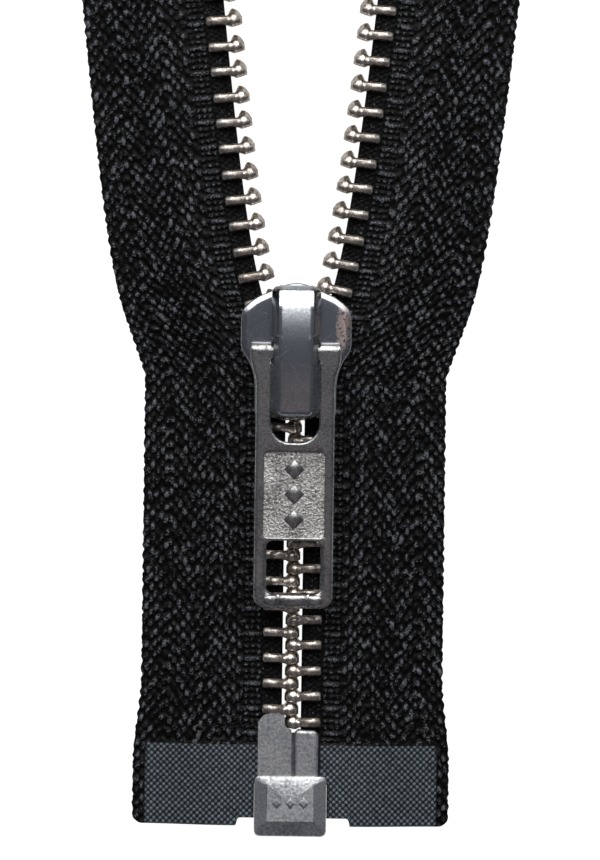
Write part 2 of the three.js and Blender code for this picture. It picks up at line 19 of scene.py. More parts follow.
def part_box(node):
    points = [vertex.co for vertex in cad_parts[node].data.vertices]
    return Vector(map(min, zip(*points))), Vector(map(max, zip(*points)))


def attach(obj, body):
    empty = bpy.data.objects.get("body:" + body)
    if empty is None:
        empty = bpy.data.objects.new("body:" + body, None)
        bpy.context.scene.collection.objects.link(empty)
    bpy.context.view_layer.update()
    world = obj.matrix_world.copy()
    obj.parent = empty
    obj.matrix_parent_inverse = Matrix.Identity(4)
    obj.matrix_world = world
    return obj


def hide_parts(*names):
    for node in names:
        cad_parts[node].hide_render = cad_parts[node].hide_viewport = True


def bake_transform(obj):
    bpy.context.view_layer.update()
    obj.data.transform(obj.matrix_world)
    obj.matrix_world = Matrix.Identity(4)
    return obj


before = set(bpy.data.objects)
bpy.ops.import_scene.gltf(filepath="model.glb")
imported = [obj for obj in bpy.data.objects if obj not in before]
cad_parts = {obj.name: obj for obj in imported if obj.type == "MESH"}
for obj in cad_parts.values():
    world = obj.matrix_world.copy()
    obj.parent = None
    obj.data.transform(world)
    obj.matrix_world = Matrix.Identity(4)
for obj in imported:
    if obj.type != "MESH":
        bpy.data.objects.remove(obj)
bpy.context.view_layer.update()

log = logging.getLogger("zipper")

MM = 0.001
ORIGIN_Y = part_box("retainer_box")[0].y / MM  # the box's lower edge, where Y is 0
CHAIN_Z = (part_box("retainer_box")[0].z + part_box("retainer_box")[1].z) / 2 / MM
SLIDER_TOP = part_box("slider_body")[1].z / MM
BLADE = 1.0  # thickness of each blade of the slider
PITCH = 2.56
FIRST_TOOTH = 11.4  # the lowest tooth of the right row, along the row
FIRST_LOOSE = 13  # teeth from this one up are pieces of their own
FIRST_SIDE = 17  # and from this one up they ride on the upper link
TEETH = 30
STRETCH = 0.4  # how much further up the loose teeth stand than the closed pitch gives
SEED = 7


class Side(Enum):
    """The two halves of the zipper, with the sign of X on each."""

    LEFT = -1
    RIGHT = 1

    @property
    def word(self) -> str:
        """The side's name as it stands in the names of nodes and bodies."""
        return self.name.lower()


# ---- Arrays, surfaces and meshes ----


def smoothstep(x: np.ndarray | float, low: float, high: float) -> np.ndarray:
    """A smooth rise from 0 at low to 1 at high: 3t squared less 2t cubed."""
    t = np.clip((np.asarray(x, float) - low) / (high - low), 0, 1)
    return t * t * (3 - 2 * t)


def grid_quads(rows: int, columns: int, ring: bool = False) -> np.ndarray:
    """Quads of a grid whose points are numbered row by row.

    Args:
        rows: how many rows of points there are.
        columns: how many points a row holds.
        ring: whether each row's last point joins its first.

    Returns:
        One line of four point numbers for each quad.
    """
    r, c = np.meshgrid(np.arange(rows - 1), np.arange(columns if ring else columns - 1), indexing="ij")
    right = (c + 1) % columns
    corners = [r * columns + c, r * columns + right, (r + 1) * columns + right, (r + 1) * columns + c]
    return np.stack([k.ravel() for k in corners], 1)


def lofted(rings: np.ndarray) -> tuple[np.ndarray, list[np.ndarray]]:
    """A closed surface through a stack of rings, each end closed by a fan about its own centre.

    Args:
        rings: points as stations by points around by three.

    Returns:
        The points, and the quads and triangles.
    """
    stations, around, _ = rings.shape
    points = np.concatenate([rings.reshape(-1, 3), rings[:1].mean(1), rings[-1:].mean(1)])
    k = np.arange(around)
    last = (stations - 1) * around
    start = np.stack([np.full(around, stations * around), (k + 1) % around, k], 1)
    end = np.stack([np.full(around, stations * around + 1), last + k, last + (k + 1) % around], 1)
    return points, [grid_quads(stations, around, ring=True), start, end]


def curve_through(points: list[tuple[float, float]], steps: int) -> np.ndarray:
    """A smooth closed line through a ring of points: Catmull and Rom's cubic on each stretch.

    Args:
        points: the ring's points.
        steps: how many pieces each stretch is cut into.

    Returns:
        The points of the finer ring.
    """
    p = np.array(points, float)
    a, b, c, d = (np.roll(p, k, axis=0)[:, None] for k in (1, 0, -1, -2))
    t = (np.arange(steps) / steps)[None, :, None]
    cubic = (-a + 3 * b - 3 * c + d) * t**3 + (2 * a - 5 * b + 4 * c - d) * t**2 + (c - a) * t + 2 * b
    return (cubic / 2).reshape(-1, 2)


def rounded_box(x: tuple[float, float], y: tuple[float, float], radius: float, steps: int = 6) -> np.ndarray:
    """A rectangle with quarter circles for corners, counterclockwise.

    Args:
        x: its low and high sides.
        y: its low and high ends.
        radius: of the corners.
        steps: pieces in each corner.

    Returns:
        The points of the ring.
    """
    centres = np.array([[x[1] - radius, y[0] + radius], [x[1] - radius, y[1] - radius],
                        [x[0] + radius, y[1] - radius], [x[0] + radius, y[0] + radius]])
    turns = np.radians(np.linspace(0, 90, steps + 1)[None] + np.array([[-90], [0], [90], [180]]))
    arcs = centres[:, None] + radius * np.stack([np.cos(turns), np.sin(turns)], -1)
    return arcs.reshape(-1, 2)


def inset(ring: np.ndarray, depth: float) -> np.ndarray:
    """A counterclockwise ring moved inwards by a depth, each corner along its bisector."""
    before = ring - np.roll(ring, 1, axis=0)
    after = np.roll(ring, -1, axis=0) - ring
    before, after = (e / np.linalg.norm(e, axis=1, keepdims=True) for e in (before, after))
    one, two = (np.stack([-e[:, 1], e[:, 0]], 1) for e in (before, after))
    bisector = one + two
    return ring + depth * bisector / np.maximum((bisector * one).sum(1, keepdims=True), 0.5)


def lozenge(middle: tuple[float, float], half: tuple[float, float],
            steps: tuple[tuple[float, float], ...]) -> np.ndarray:
    """A small raised lozenge with sloping sides.

    Args:
        middle: its place.
        half: half of its width and of its length.
        steps: for each ring from its foot to its top, a share of those halves and a height.

    Returns:
        Rings of four corners.
    """
    corners = np.array([(half[0], 0), (0, half[1]), (-half[0], 0), (0, -half[1])])
    return np.stack([np.column_stack([corners * size + middle, np.full(4, height)])
                     for size, height in steps])


@dataclass
class Shell:
    """The surfaces of one piece as they are gathered, in millimetres."""

    points: list[np.ndarray] = field(default_factory=list)
    faces: list[tuple[np.ndarray, int]] = field(default_factory=list)
    count: int = 0

    def add(self, points: np.ndarray, faces: list[np.ndarray], finish: int = 0) -> None:
        """Adds a surface: its points, its faces and the number of its finish."""
        points = np.asarray(points, float).reshape(-1, 3)
        self.faces += [(np.asarray(f, int) + self.count, finish) for f in faces if len(f)]
        self.points.append(points)
        self.count += len(points)

    def add_loft(self, rings: np.ndarray, finish: int = 0) -> None:
        """Adds a closed surface through a stack of rings."""
        self.add(*lofted(rings), finish)

    def add_plate(self, outline: np.ndarray, z: tuple[float, float], bevel: float,
                  holes: tuple = (), recess: tuple | None = None) -> None:
        """Adds a flat plate with rounded rims.

        The rims are a little flatter than a quarter circle in section. At an angle a from 0 to 90 degrees,
        the ring is set in by the bevel times (1 - sin a) to the power 1.4, and its height is the bevel
        times (1 - cos a) in from the face. A recess has upright walls and a floor of finish 1.

        Args:
            outline: the counterclockwise outline.
            z: the heights of its lower and upper faces.
            bevel: the radius of the rims.
            holes: for each hole through it, a counterclockwise outline and the radius of its rims, one
                number or one for each point.
            recess: an outline and a depth, sunk into the upper face.
        """
        angle = np.radians(np.linspace(0, 90, 6))
        sunk = (1 - np.sin(angle)) ** 1.4
        rise = 1 - np.cos(angle)
        points, faces, tops, lows = [], [], [], []
        start = 0
        for ring, radius, sign in [(outline, bevel, 1), *((*hole, -1) for hole in holes)]:
            radius = np.broadcast_to(np.asarray(radius, float), len(ring))
            depths = sign * radius * np.concatenate([sunk, sunk[::-1]])[:, None]
            heights = np.concatenate([z[0] + radius * rise[:, None], (z[1] - radius * rise[:, None])[::-1]])
            rings = [np.column_stack([inset(ring, d[:, None]), h]) for d, h in zip(depths, heights)]
            points.append(np.concatenate(rings))
            faces.append(grid_quads(len(rings), len(ring), ring=True) + start)
            lows.append((rings[0], np.arange(len(ring)) + start))
            tops.append((rings[-1], np.arange(len(ring)) + start + (len(rings) - 1) * len(ring)))
            start += len(rings) * len(ring)
        if recess:
            ring, depth = recess
            steps = [(-0.1, z[1]), (-0.03, z[1] - 0.03), (0, z[1] - 0.1), (0, z[1] - depth)]
            rings = [np.column_stack([inset(ring, d), np.full(len(ring), h)]) for d, h in steps]
            points.append(np.concatenate(rings))
            faces.append(grid_quads(len(rings), len(ring), ring=True) + start)
            tops.append((rings[0], np.arange(len(ring)) + start))
            floor = (rings[-1], np.arange(len(ring)) + start + (len(rings) - 1) * len(ring))
        caps = [self.cap(tops), self.cap(lows)]
        base = self.count
        self.add(np.concatenate(points), faces + caps)
        if recess:
            self.faces.append((self.cap([floor]) + base, 1))

    @staticmethod
    def cap(rings: list[tuple[np.ndarray, np.ndarray]]) -> np.ndarray:
        """Triangles that fill the first ring less the others, from each ring's points and numbers."""
        numbers = np.concatenate([n for _, n in rings])
        loops = [[Vector(p) for p in points.tolist()] for points, _ in rings]
        return numbers[np.array(tessellate_polygon(loops))]

    def build(self, name: str, finishes: list[bpy.types.Material], smooth: float = 35,
              recalculate: bool = True) -> bpy.types.Object:
        """Makes the piece's object, at the origin, with its place in its mesh.

        Args:
            name: of the piece.
            finishes: its materials, in the order of the faces' numbers.
            smooth: the angle in degrees past which an edge is sharp.
            recalculate: whether the faces are turned outwards here.

        Returns:
            The object, in the scene.
        """
        mesh = bpy.data.meshes.new(name)
        points = np.concatenate(self.points)
        points[:, 1] += ORIGIN_Y
        loops = np.concatenate([f.ravel() for f, _ in self.faces])
        sizes = np.concatenate([np.full(len(f), f.shape[1]) for f, _ in self.faces])
        mesh.vertices.add(len(points))
        mesh.vertices.foreach_set("co", (points * MM).astype(np.float32).ravel())
        mesh.loops.add(len(loops))
        mesh.loops.foreach_set("vertex_index", loops.astype(np.int32))
        mesh.polygons.add(len(sizes))
        mesh.polygons.foreach_set("loop_start", (np.cumsum(sizes) - sizes).astype(np.int32))
        mesh.polygons.foreach_set(
            "material_index", np.concatenate([np.full(len(f), k) for f, k in self.faces]).astype(np.int32))
        mesh.update(calc_edges=True)
        if recalculate:
            work = bmesh.new()
            work.from_mesh(mesh)
            bmesh.ops.recalc_face_normals(work, faces=work.faces)
            work.to_mesh(mesh)
            work.free()
        mesh.shade_smooth()
        mesh.set_sharp_from_angle(angle=math.radians(smooth))
        for finish in finishes:
            mesh.materials.append(finish)
        piece = bpy.data.objects.new(name, mesh)
        bpy.context.scene.collection.objects.link(piece)
        return piece


def weigh_normals(piece: bpy.types.Object) -> None:
    """Keeps a plate's flats flat in the light, with all the turn of the normals in its rims."""
    modifier = piece.modifiers.new("flats", "WEIGHTED_NORMAL")
    modifier.keep_sharp = True


def place(piece: bpy.types.Object, body: str, slot: str, *nodes: str) -> bpy.types.Object:
    """Has a piece ride on a body and stand for CAD nodes, and reports it."""
    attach(piece, body)
    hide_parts(*nodes)
    log.info("%s rides on %s and stands for %s", piece.name, body, ", ".join(nodes) or "no node")
    return piece


# ---- Materials ----


def to_linear(colour: str) -> tuple[float, float, float, float]:
    """An sRGB hex colour such as "#1a2b3c" as linear red, green, blue and full alpha."""
    srgb = np.array([int(colour[k:k + 2], 16) for k in (1, 3, 5)]) / 255
    linear = np.where(srgb <= 0.04045, srgb / 12.92, ((srgb + 0.055) / 1.055) ** 2.4)
    return (*linear.tolist(), 1.0)


def add_node(tree: bpy.types.NodeTree, kind: str, settings: dict | None = None,
             inputs: dict | None = None) -> bpy.types.Node:
    """Adds a node, sets it up and links it.

    Args:
        tree: the material's or the world's node tree.
        kind: the node's type.
        settings: properties of the node, by name.
        inputs: for each socket's name or number, a value or the socket that feeds it.

    Returns:
        The node.
    """
    node = tree.nodes.new(kind)
    for name, value in (settings or {}).items():
        setattr(node, name, value)
    for name, value in (inputs or {}).items():
        if isinstance(value, bpy.types.NodeSocket):
            tree.links.new(value, node.inputs[name])
        else:
            node.inputs[name].default_value = value
    return node


def blank_material(name: str) -> tuple[bpy.types.Material, bpy.types.NodeTree, bpy.types.Node]:
    """A new material with its node tree and its Principled shader, linked to the output."""
    material = bpy.data.materials.new(name)
    material.use_nodes = True
    tree = material.node_tree
    tree.nodes.clear()
    shader = add_node(tree, "ShaderNodeBsdfPrincipled")
    add_node(tree, "ShaderNodeOutputMaterial", inputs={"Surface": shader.outputs[0]})
    return material, tree, shader


def set_ramp(node: bpy.types.Node, stops: list[tuple[float, tuple]]) -> None:
    """Gives a colour ramp its stops, each a place from 0 to 1 and a linear colour."""
    ramp = node.color_ramp
    while len(ramp.elements) < len(stops):
        ramp.elements.new(0.5)
    for element, (place_at, colour) in zip(ramp.elements, stops):
        element.position = place_at
        element.color = colour


@dataclass(frozen=True)
class WovenPolyester:
    """Black polyester filament yarn, woven in a broken herringbone, with a painted highlight on the floats'
    crowns and painted shade, near black, in the gaps between them."""

    # painted shade: the near-black colour of the gaps between the floats
    gap: str = "#010101"
    yarn: str = "#0e0f11"
    # painted highlight: the grey of the floats' crowns
    crown_highlight: str = "#6b6e74"
    roughness: float = 0.5
    specular: float = 0.16
    filament: float = 0.085  # mm, bundles of filaments, coarser than the real 0.02 so that they show

    def material(self) -> bpy.types.Material:
        """The tapes' material: its colour rises with the crest attribute, a painted highlight on the crowns
        and painted shade in the gaps, and wanders by float.
        """
        material, tree, shader = blank_material("woven_polyester")
        crest = add_node(tree, "ShaderNodeAttribute", {"attribute_name": "crest"})
        strand = add_node(tree, "ShaderNodeAttribute", {"attribute_name": "strand"})
        where = add_node(tree, "ShaderNodeTexCoord")
        fine = add_node(tree, "ShaderNodeTexNoise", inputs={
            "Vector": where.outputs["Object"], "Scale": 1 / (self.filament * MM * 2.2), "Detail": 2.0})
        wander = add_node(tree, "ShaderNodeMath", {"operation": "MULTIPLY_ADD"},
                          {0: strand.outputs["Fac"], 1: 0.3, 2: -0.15})
        # the crest lifts the colour from the yarn's black towards the painted highlight
        lifted = add_node(tree, "ShaderNodeMath", {"operation": "MULTIPLY_ADD"},
                          {0: crest.outputs["Fac"], 1: 0.72, 2: wander.outputs[0]})
        speck = add_node(tree, "ShaderNodeMath", {"operation": "MULTIPLY_ADD"},
                         {0: fine.outputs["Fac"], 1: 2.6, 2: -1.3})
        total = add_node(tree, "ShaderNodeMath", {"operation": "ADD", "use_clamp": True},
                         {0: lifted.outputs[0], 1: speck.outputs[0]})
        ramp = add_node(tree, "ShaderNodeValToRGB", inputs={"Fac": total.outputs[0]})
        set_ramp(ramp, [(0.2, to_linear(self.gap)), (0.55, to_linear(self.yarn)),
                        (1.0, to_linear(self.crown_highlight))])
        tree.links.new(ramp.outputs["Color"], shader.inputs["Base Color"])
        shader.inputs["Roughness"].default_value = self.roughness
        shader.inputs["Specular IOR Level"].default_value = self.specular
        bump = add_node(tree, "ShaderNodeBump", inputs={
            "Strength": 0.5, "Distance": 0.03 * MM, "Height": fine.outputs["Fac"]})
        tree.links.new(bump.outputs[0], shader.inputs["Normal"])
        return material


@dataclass(frozen=True)
class EmbossedFilm:
    """Heat-bonded nylon film, pressed with a lozenge roller: small facets with a painted highlight between
    grooves with painted shade.
    """

    # painted shade: the dark colour of the grooves
    groove_shade: str = "#080b11"
    # painted highlight: the pale colour of the raised facets
    facet_highlight: str = "#78858f"
    roughness: float = 0.42

    def material(self) -> bpy.types.Material:
        """The stiffening films' material, paler where the emboss stands up: a painted highlight on the
        facets, with painted shade in the grooves.
        """
        material, tree, shader = blank_material("embossed_nylon_film")
        crest = add_node(tree, "ShaderNodeAttribute", {"attribute_name": "crest"})
        where = add_node(tree, "ShaderNodeTexCoord")
        cloud = add_node(tree, "ShaderNodeTexNoise", inputs={
            "Vector": where.outputs["Object"], "Scale": 1 / (0.4 * MM), "Detail": 3.0})
        mixed = add_node(tree, "ShaderNodeMath", {"operation": "MULTIPLY"},
                         {0: crest.outputs["Fac"], 1: cloud.outputs["Fac"]})
        ramp = add_node(tree, "ShaderNodeValToRGB", inputs={"Fac": mixed.outputs[0]})
        set_ramp(ramp, [(0.08, to_linear(self.groove_shade)), (0.55, to_linear(self.facet_highlight))])
        tree.links.new(ramp.outputs["Color"], shader.inputs["Base Color"])
        shader.inputs["Roughness"].default_value = self.roughness
        bump = add_node(tree, "ShaderNodeBump", inputs={
            "Strength": 0.3, "Distance": 0.02 * MM, "Height": cloud.outputs["Fac"]})
        tree.links.new(bump.outputs[0], shader.inputs["Normal"])
        return material


@dataclass(frozen=True)
class PlatedMetal:
    """Nickel over brass or zinc. The grain is what tumbling or casting leaves under the plating, and
    scratches are hairlines from handling."""

    name: str
    light: str
    dark: str
    roughness: tuple[float, float]
    grain: float  # mm, from one speck to the next
    grain_depth: float  # mm
    scratches: float = 0.0  # how much the hairlines roughen the surface
    wear: str | None = None  # colour of the base metal where the plating has rubbed off a shoulder

    def material(self) -> bpy.types.Material:
        """The metal's material: grain and slow clouds in its colour and roughness, and grain in its bump."""
        material, tree, shader = blank_material(self.name)
        where = add_node(tree, "ShaderNodeTexCoord").outputs["Object"]
        speckle = add_node(tree, "ShaderNodeTexNoise", inputs={
            "Vector": where, "Scale": 1 / (self.grain * MM * 2), "Detail": 3.0, "Roughness": 0.6})
        grain = speckle.outputs["Fac"]
        cloud = add_node(tree, "ShaderNodeTexNoise", inputs={
            "Vector": where, "Scale": 1 / (2.5 * MM), "Detail": 3.0})
        share = add_node(tree, "ShaderNodeMath", {"operation": "MULTIPLY"}, {0: grain, 1: 0.65})
        mixed = add_node(tree, "ShaderNodeMath", {"operation": "MULTIPLY_ADD"},
                         {0: cloud.outputs["Fac"], 1: 0.35, 2: share.outputs[0]})
        ramp = add_node(tree, "ShaderNodeValToRGB", inputs={"Fac": mixed.outputs[0]})
        set_ramp(ramp, [(0.36, to_linear(self.dark)), (0.62, to_linear(self.light))])
        colour = ramp.outputs["Color"]
        rough = add_node(tree, "ShaderNodeMapRange", inputs={
            "Value": mixed.outputs[0], "From Min": 0.36, "From Max": 0.64,
            "To Min": self.roughness[1], "To Max": self.roughness[0]}).outputs[0]
        if self.scratches:
            hairline = self.hairlines(tree, where)
            rough = add_node(tree, "ShaderNodeMath", {"operation": "MULTIPLY_ADD", "use_clamp": True},
                             {0: hairline, 1: self.scratches, 2: rough}).outputs[0]
        if self.wear:
            colour, mask = self.worn(tree, where, colour, grain)
            rough = add_node(tree, "ShaderNodeMath", {"operation": "MULTIPLY_ADD", "use_clamp": True},
                             {0: mask, 1: 0.3, 2: rough}).outputs[0]
        tree.links.new(colour, shader.inputs["Base Color"])
        tree.links.new(rough, shader.inputs["Roughness"])
        shader.inputs["Metallic"].default_value = 1.0
        bump = add_node(tree, "ShaderNodeBump", inputs={
            "Strength": 1.0, "Distance": self.grain_depth * MM, "Height": grain})
        tree.links.new(bump.outputs[0], shader.inputs["Normal"])
        return material

    @staticmethod
    def hairlines(tree: bpy.types.NodeTree, where: bpy.types.NodeSocket) -> bpy.types.NodeSocket:
        """Thin scratches at three angles: noise drawn out forty times along each, kept near its middle."""
        total = None
        for angle in (28, -52, 74):
            turned = add_node(tree, "ShaderNodeMapping", {"vector_type": "TEXTURE"}, {
                "Vector": where, "Rotation": (0, 0, math.radians(angle)), "Scale": (1 / 40, 1, 1)})
            streak = add_node(tree, "ShaderNodeTexNoise", inputs={
                "Vector": turned.outputs[0], "Scale": 1 / (6 * MM), "Detail": 2.0})
            line = add_node(tree, "ShaderNodeMapRange", inputs={
                "Value": streak.outputs["Fac"], "From Min": 0.7, "From Max": 0.82})
            total = line.outputs[0] if total is None else add_node(
                tree, "ShaderNodeMath", {"operation": "MAXIMUM"}, {0: total, 1: line.outputs[0]}).outputs[0]
        return total

    def worn(self, tree: bpy.types.NodeTree, where: bpy.types.NodeSocket, colour: bpy.types.NodeSocket,
             grain: bpy.types.NodeSocket) -> tuple[bpy.types.NodeSocket, bpy.types.NodeSocket]:
        """Mixes in the base metal on the right shoulder's rim, a soft spot broken up by the grain.

        Args:
            tree: the material's node tree.
            where: the place on the object.
            colour: the plating's colour.
            grain: the grain's height.

        Returns:
            The mixed colour, and how much of the base metal shows.
        """
        centre = (4.75 * MM, (ORIGIN_Y + 50.8) * MM, SLIDER_TOP * MM)
        moved = add_node(tree, "ShaderNodeMapping", {"vector_type": "TEXTURE"}, {
            "Vector": where, "Location": centre, "Scale": (1.0 * MM, 3.2 * MM, 1.2 * MM)})
        spot = add_node(tree, "ShaderNodeTexGradient", {"gradient_type": "SPHERICAL"},
                        {"Vector": moved.outputs[0]})
        broken = add_node(tree, "ShaderNodeMapRange", inputs={
            "Value": grain, "From Min": 0.36, "From Max": 0.62})
        shown = add_node(tree, "ShaderNodeMath", {"operation": "MULTIPLY"},
                         {0: spot.outputs["Fac"], 1: broken.outputs[0]})
        mask = add_node(tree, "ShaderNodeMapRange", inputs={
            "Value": shown.outputs[0], "From Min": 0.05, "From Max": 0.45, "To Max": 0.85})
        mix = add_node(tree, "ShaderNodeMix", {"data_type": "RGBA"}, {0: mask.outputs[0]})
        tree.links.new(colour, mix.inputs[6])
        mix.inputs[7].default_value = to_linear(self.wear)
        return mix.outputs[2], mask.outputs[0]


# Nickel on brass, tumbled: pale and a little warm, bright on its facets.
TOOTH_METAL = PlatedMetal("nickel_plated_brass_teeth", "#f2eae0", "#998c81", (0.2, 0.36), 0.16, 0.008)
# Buffed nickel on cast zinc: a dark mirror that shows hairlines and a rubbed shoulder.
POLISHED_NICKEL = PlatedMetal("polished_nickel", "#d6d9dd", "#a9adb3", (0.17, 0.24), 0.13, 0.003, 0.14,
                              "#d6b5a9")
# Barrel-finished nickel on cast zinc: satin, with bright specks.
SATIN_NICKEL = PlatedMetal("satin_nickel", "#dddcd9", "#77777b", (0.2, 0.36), 0.14, 0.014, 0.2)
# The same, drawn over a belt: softer still, so that it looks paler.
BRUSHED_NICKEL = PlatedMetal("brushed_nickel", "#f0f1f2", "#8f9296", (0.36, 0.55), 0.15, 0.035, 0.1)
# Grit-blasted nickel: pale and sparkling, with no clear reflection.
BLASTED_NICKEL = PlatedMetal("blasted_nickel", "#fffdf9", "#7d7b78", (0.4, 0.62), 0.12, 0.16)
# Hardened spring steel, bright rolled.
SPRING_STEEL = PlatedMetal("spring_steel", "#b4b2ad", "#8c8a86", (0.25, 0.35), 0.2, 0.003)


# ---- The way that the rows and tapes lie ----


@dataclass(frozen=True)
class RowPath:
    """The line of a row of teeth: straight where it is closed, then leaning away above the throat."""

    throat: float = 46.0
    blend: float = 1.6
    straight_end: float = 53.0
    mouth_lean: float = math.radians(17.25)
    open_lean: float = math.radians(6.0)
    tape_lean: float = math.radians(6.6)
    relax: float = 7.3
    tape_blend: float = 16.0

    def lean(self, along: np.ndarray | float) -> np.ndarray:
        """The row's angle: a smooth rise at the throat, times a lean that relaxes exponentially."""
        rise = smoothstep(along, self.throat - self.blend / 2, self.throat + self.blend / 2)
        past = np.maximum(np.asarray(along, float) - self.straight_end, 0)
        return rise * (self.open_lean + (self.mouth_lean - self.open_lean) * np.exp(-past / self.relax))

    def point(self, along: np.ndarray | float) -> np.ndarray:
        """Points of the row: the sine and cosine of its angle summed in steps of 0.02 mm."""
        step = 0.02
        stations = np.arange(0, 100, step)
        angle = self.lean(stations + step / 2)
        x = np.concatenate([[0], np.cumsum(np.sin(angle) * step)])
        y = np.concatenate([[0], np.cumsum(np.cos(angle) * step)])
        stations = np.append(stations, 100)
        return np.stack([np.interp(along, stations, x), np.interp(along, stations, y)], -1)

    def tape_point(self, along: np.ndarray, out: np.ndarray) -> np.ndarray:
        """Points of the tape: out from the row, across a line that turns more gently than the row."""
        lean = self.tape_lean * smoothstep(along, self.throat - 2, self.throat - 2 + self.tape_blend)
        row = self.point(along)
        return np.stack([row[..., 0] + out * np.cos(lean), row[..., 1] - out * np.sin(lean)], -1)


ROW = RowPath()


# ---- Tapes and their stiffening films ----


@dataclass
class Tape:
    """One side's woven tape, as two sheets that meet inside the slider."""

    side: Side
    finish: bpy.types.Material
    film_finish: bpy.types.Material
    half_thick: float = 0.275
    edge: float = 15.1
    end_flare: float = 0.75
    level_to: float = 6.2  # it lies level out to here, and droops to the table beyond
    edge_z: float = 0.485
    bead: tuple[float, float] = (0.95, 1.65)
    bottom: float = 1.0
    top: float = 97.0
    seam: float = 50.1  # where the two sheets meet
    warp: float = 0.465  # from one warp column to the next
    repeat: float = 2.48  # of the weave, along the tape
    shift: float = 0.62  # of the weave from one column to the next
    relief: float = 0.2
    film_top: float = 9.1
    film_margin: float = 1.15
    film_gap: float = 0.05
    emboss: float = 0.62  # from one pyramid of the film to the next
    beside_box: float = 3.63  # the inner edge as far up as the box reaches
    box_rim: tuple[float, float] = (5.2, 5.8)  # where the inner edge steps in above the box

    def __post_init__(self) -> None:
        """Takes the sizes that differ between the sides: pins, notches and the lower inner edge."""
        right = self.side is Side.RIGHT
        self.pin_outer = 2.75 if right else 2.87
        self.pin_top = 10.65 if right else 12.0
        self.notch = 2.35 if right else 1.8
        self.rng = np.random.default_rng(SEED + self.side.value)
        self.wander = self.rng.normal(0, 1, (64, 256, 4))

    def edge_at(self, along: np.ndarray) -> np.ndarray:
        """The outer edge: the nominal width, widened smoothly over the stiffened end."""
        return self.edge + self.end_flare * (1 - smoothstep(along, 7, 16))

    def middle_height(self, out: np.ndarray, edge: np.ndarray | float) -> np.ndarray:
        """The middle surface's height: the chain's by the teeth, easing to the table at the edge."""
        t = np.clip((out - self.level_to) / (edge - 0.6 - self.level_to), 0, 1)
        return CHAIN_Z - (CHAIN_Z - self.edge_z) * t * t * (3 - 2 * t)

    def inner_edge(self, along: np.ndarray) -> np.ndarray:
        """The inner edge: beside the box, then gripped by the pin, then at the bead."""
        gripped = self.pin_outer - 0.6
        past_box = smoothstep(along, *self.box_rim)
        past_pin = smoothstep(along, self.pin_top - 1.2, self.pin_top - 0.9)
        return self.beside_box + (gripped - self.beside_box) * past_box + (self.bead[0] - gripped) * past_pin

    def lower_end(self, out: np.ndarray) -> np.ndarray:
        """The lower end's line: straight, up into a round notch beside the box, round at the corner."""
        notch_out = 3.6 + self.notch
        t = np.clip((out - notch_out + 0.35) / 0.35, 0, 1)
        notch = 0.8 * np.sqrt(np.maximum(1 - t * t, 0))
        corner = np.clip(out - (self.edge - 1), 0, 1)
        return self.bottom + notch + 1 - np.sqrt(np.maximum(1 - corner * corner, 0))

    def grains(self, along: np.ndarray, out: np.ndarray) -> tuple[np.ndarray, np.ndarray]:
        """The floats of the herringbone, as domes.

        Each column of warp holds two floats a repeat, the second one weaker. A dome's height is the root
        of 1 less the squares of the distances across and along it, in halves of its width and length.
        The columns' phase climbs by a fixed shift a column and turns back every 2.46 mm, which makes the
        herringbone, and each float leans the way that the phase climbs.

        Args:
            along: places along the row.
            out: places out from it.

        Returns:
            The height from 0 to 1, and a random number for each float.
        """
        height = np.zeros_like(out)
        strand = np.zeros_like(out)
        turn = 2.465
        for neighbour in (-1, 0, 1):
            column = np.floor(out / self.warp) + neighbour
            across = out / self.warp - column - 0.5
            centre = (column + 0.5) * self.warp
            climb = (centre - 5.1) / turn % 2
            phase = self.shift * turn / self.warp * (1 - np.abs(1 - climb))
            lean = np.where(climb < 1, 1, -1)
            for weak in (0, 1):
                place_in = (along - phase) / self.repeat + 0.5 * weak
                index = np.floor(place_in).astype(int)
                random = self.wander[column.astype(int) % 64, (2 * index + weak) % 256]
                t = place_in - index - 0.5 - 0.04 * random[..., 0]
                half = (0.165 if weak else 0.18) * (1 + 0.16 * random[..., 1])
                slid = across - 0.1 * lean * t / half - 0.12 * random[..., 2]
                dome = 1 - (slid / (0.58 if weak else 0.6)) ** 2 - (t / half) ** 2
                tall = (0.88 if weak else 1.0) * (1 + 0.2 * random[..., 3])
                dome = tall * np.sqrt(np.maximum(dome, 0))
                strand = np.where(dome > height, random[..., 3] * 0.3 + 0.5, strand)
                height = np.maximum(height, dome)
        return height, np.clip(strand, 0, 1)

    def ribs(self, along: np.ndarray, out: np.ndarray) -> np.ndarray:
        """The ribbed band beside the teeth: of four weft rows a repeat, one is a bar and three are dashes."""
        row = along / self.shift
        number = np.floor(row)
        a = row - number - 0.5
        column = (out - 3.05) / 0.6
        b = column - np.floor(column) - 0.5
        random = self.wander[np.floor(column).astype(int) % 64, number.astype(int) % 256]
        a, b = a - 0.05 * random[..., 0], b - 0.06 * random[..., 1]
        dash = np.sqrt(np.maximum(1 - (a / 0.36) ** 2 - (b / 0.42) ** 2, 0)) * (0.9 + 0.15 * random[..., 2])
        bar = np.sqrt(np.maximum(1 - (a / 0.44) ** 2 - np.abs((out - 3.95) / 0.9) ** 6, 0))
        return np.where(number % 4 == 0, bar, dash)

    def bead_twist(self, along: np.ndarray, out: np.ndarray) -> np.ndarray:
        """The knitted cover of the bead and the flat under the legs: short slanting stitches."""
        a = np.sin(2 * math.pi * (along / 0.62 + out / 0.9))
        b = np.sin(2 * math.pi * (out / 0.42 - along / 2.48))
        return 0.35 + 0.35 * a * b + 0.15 * a

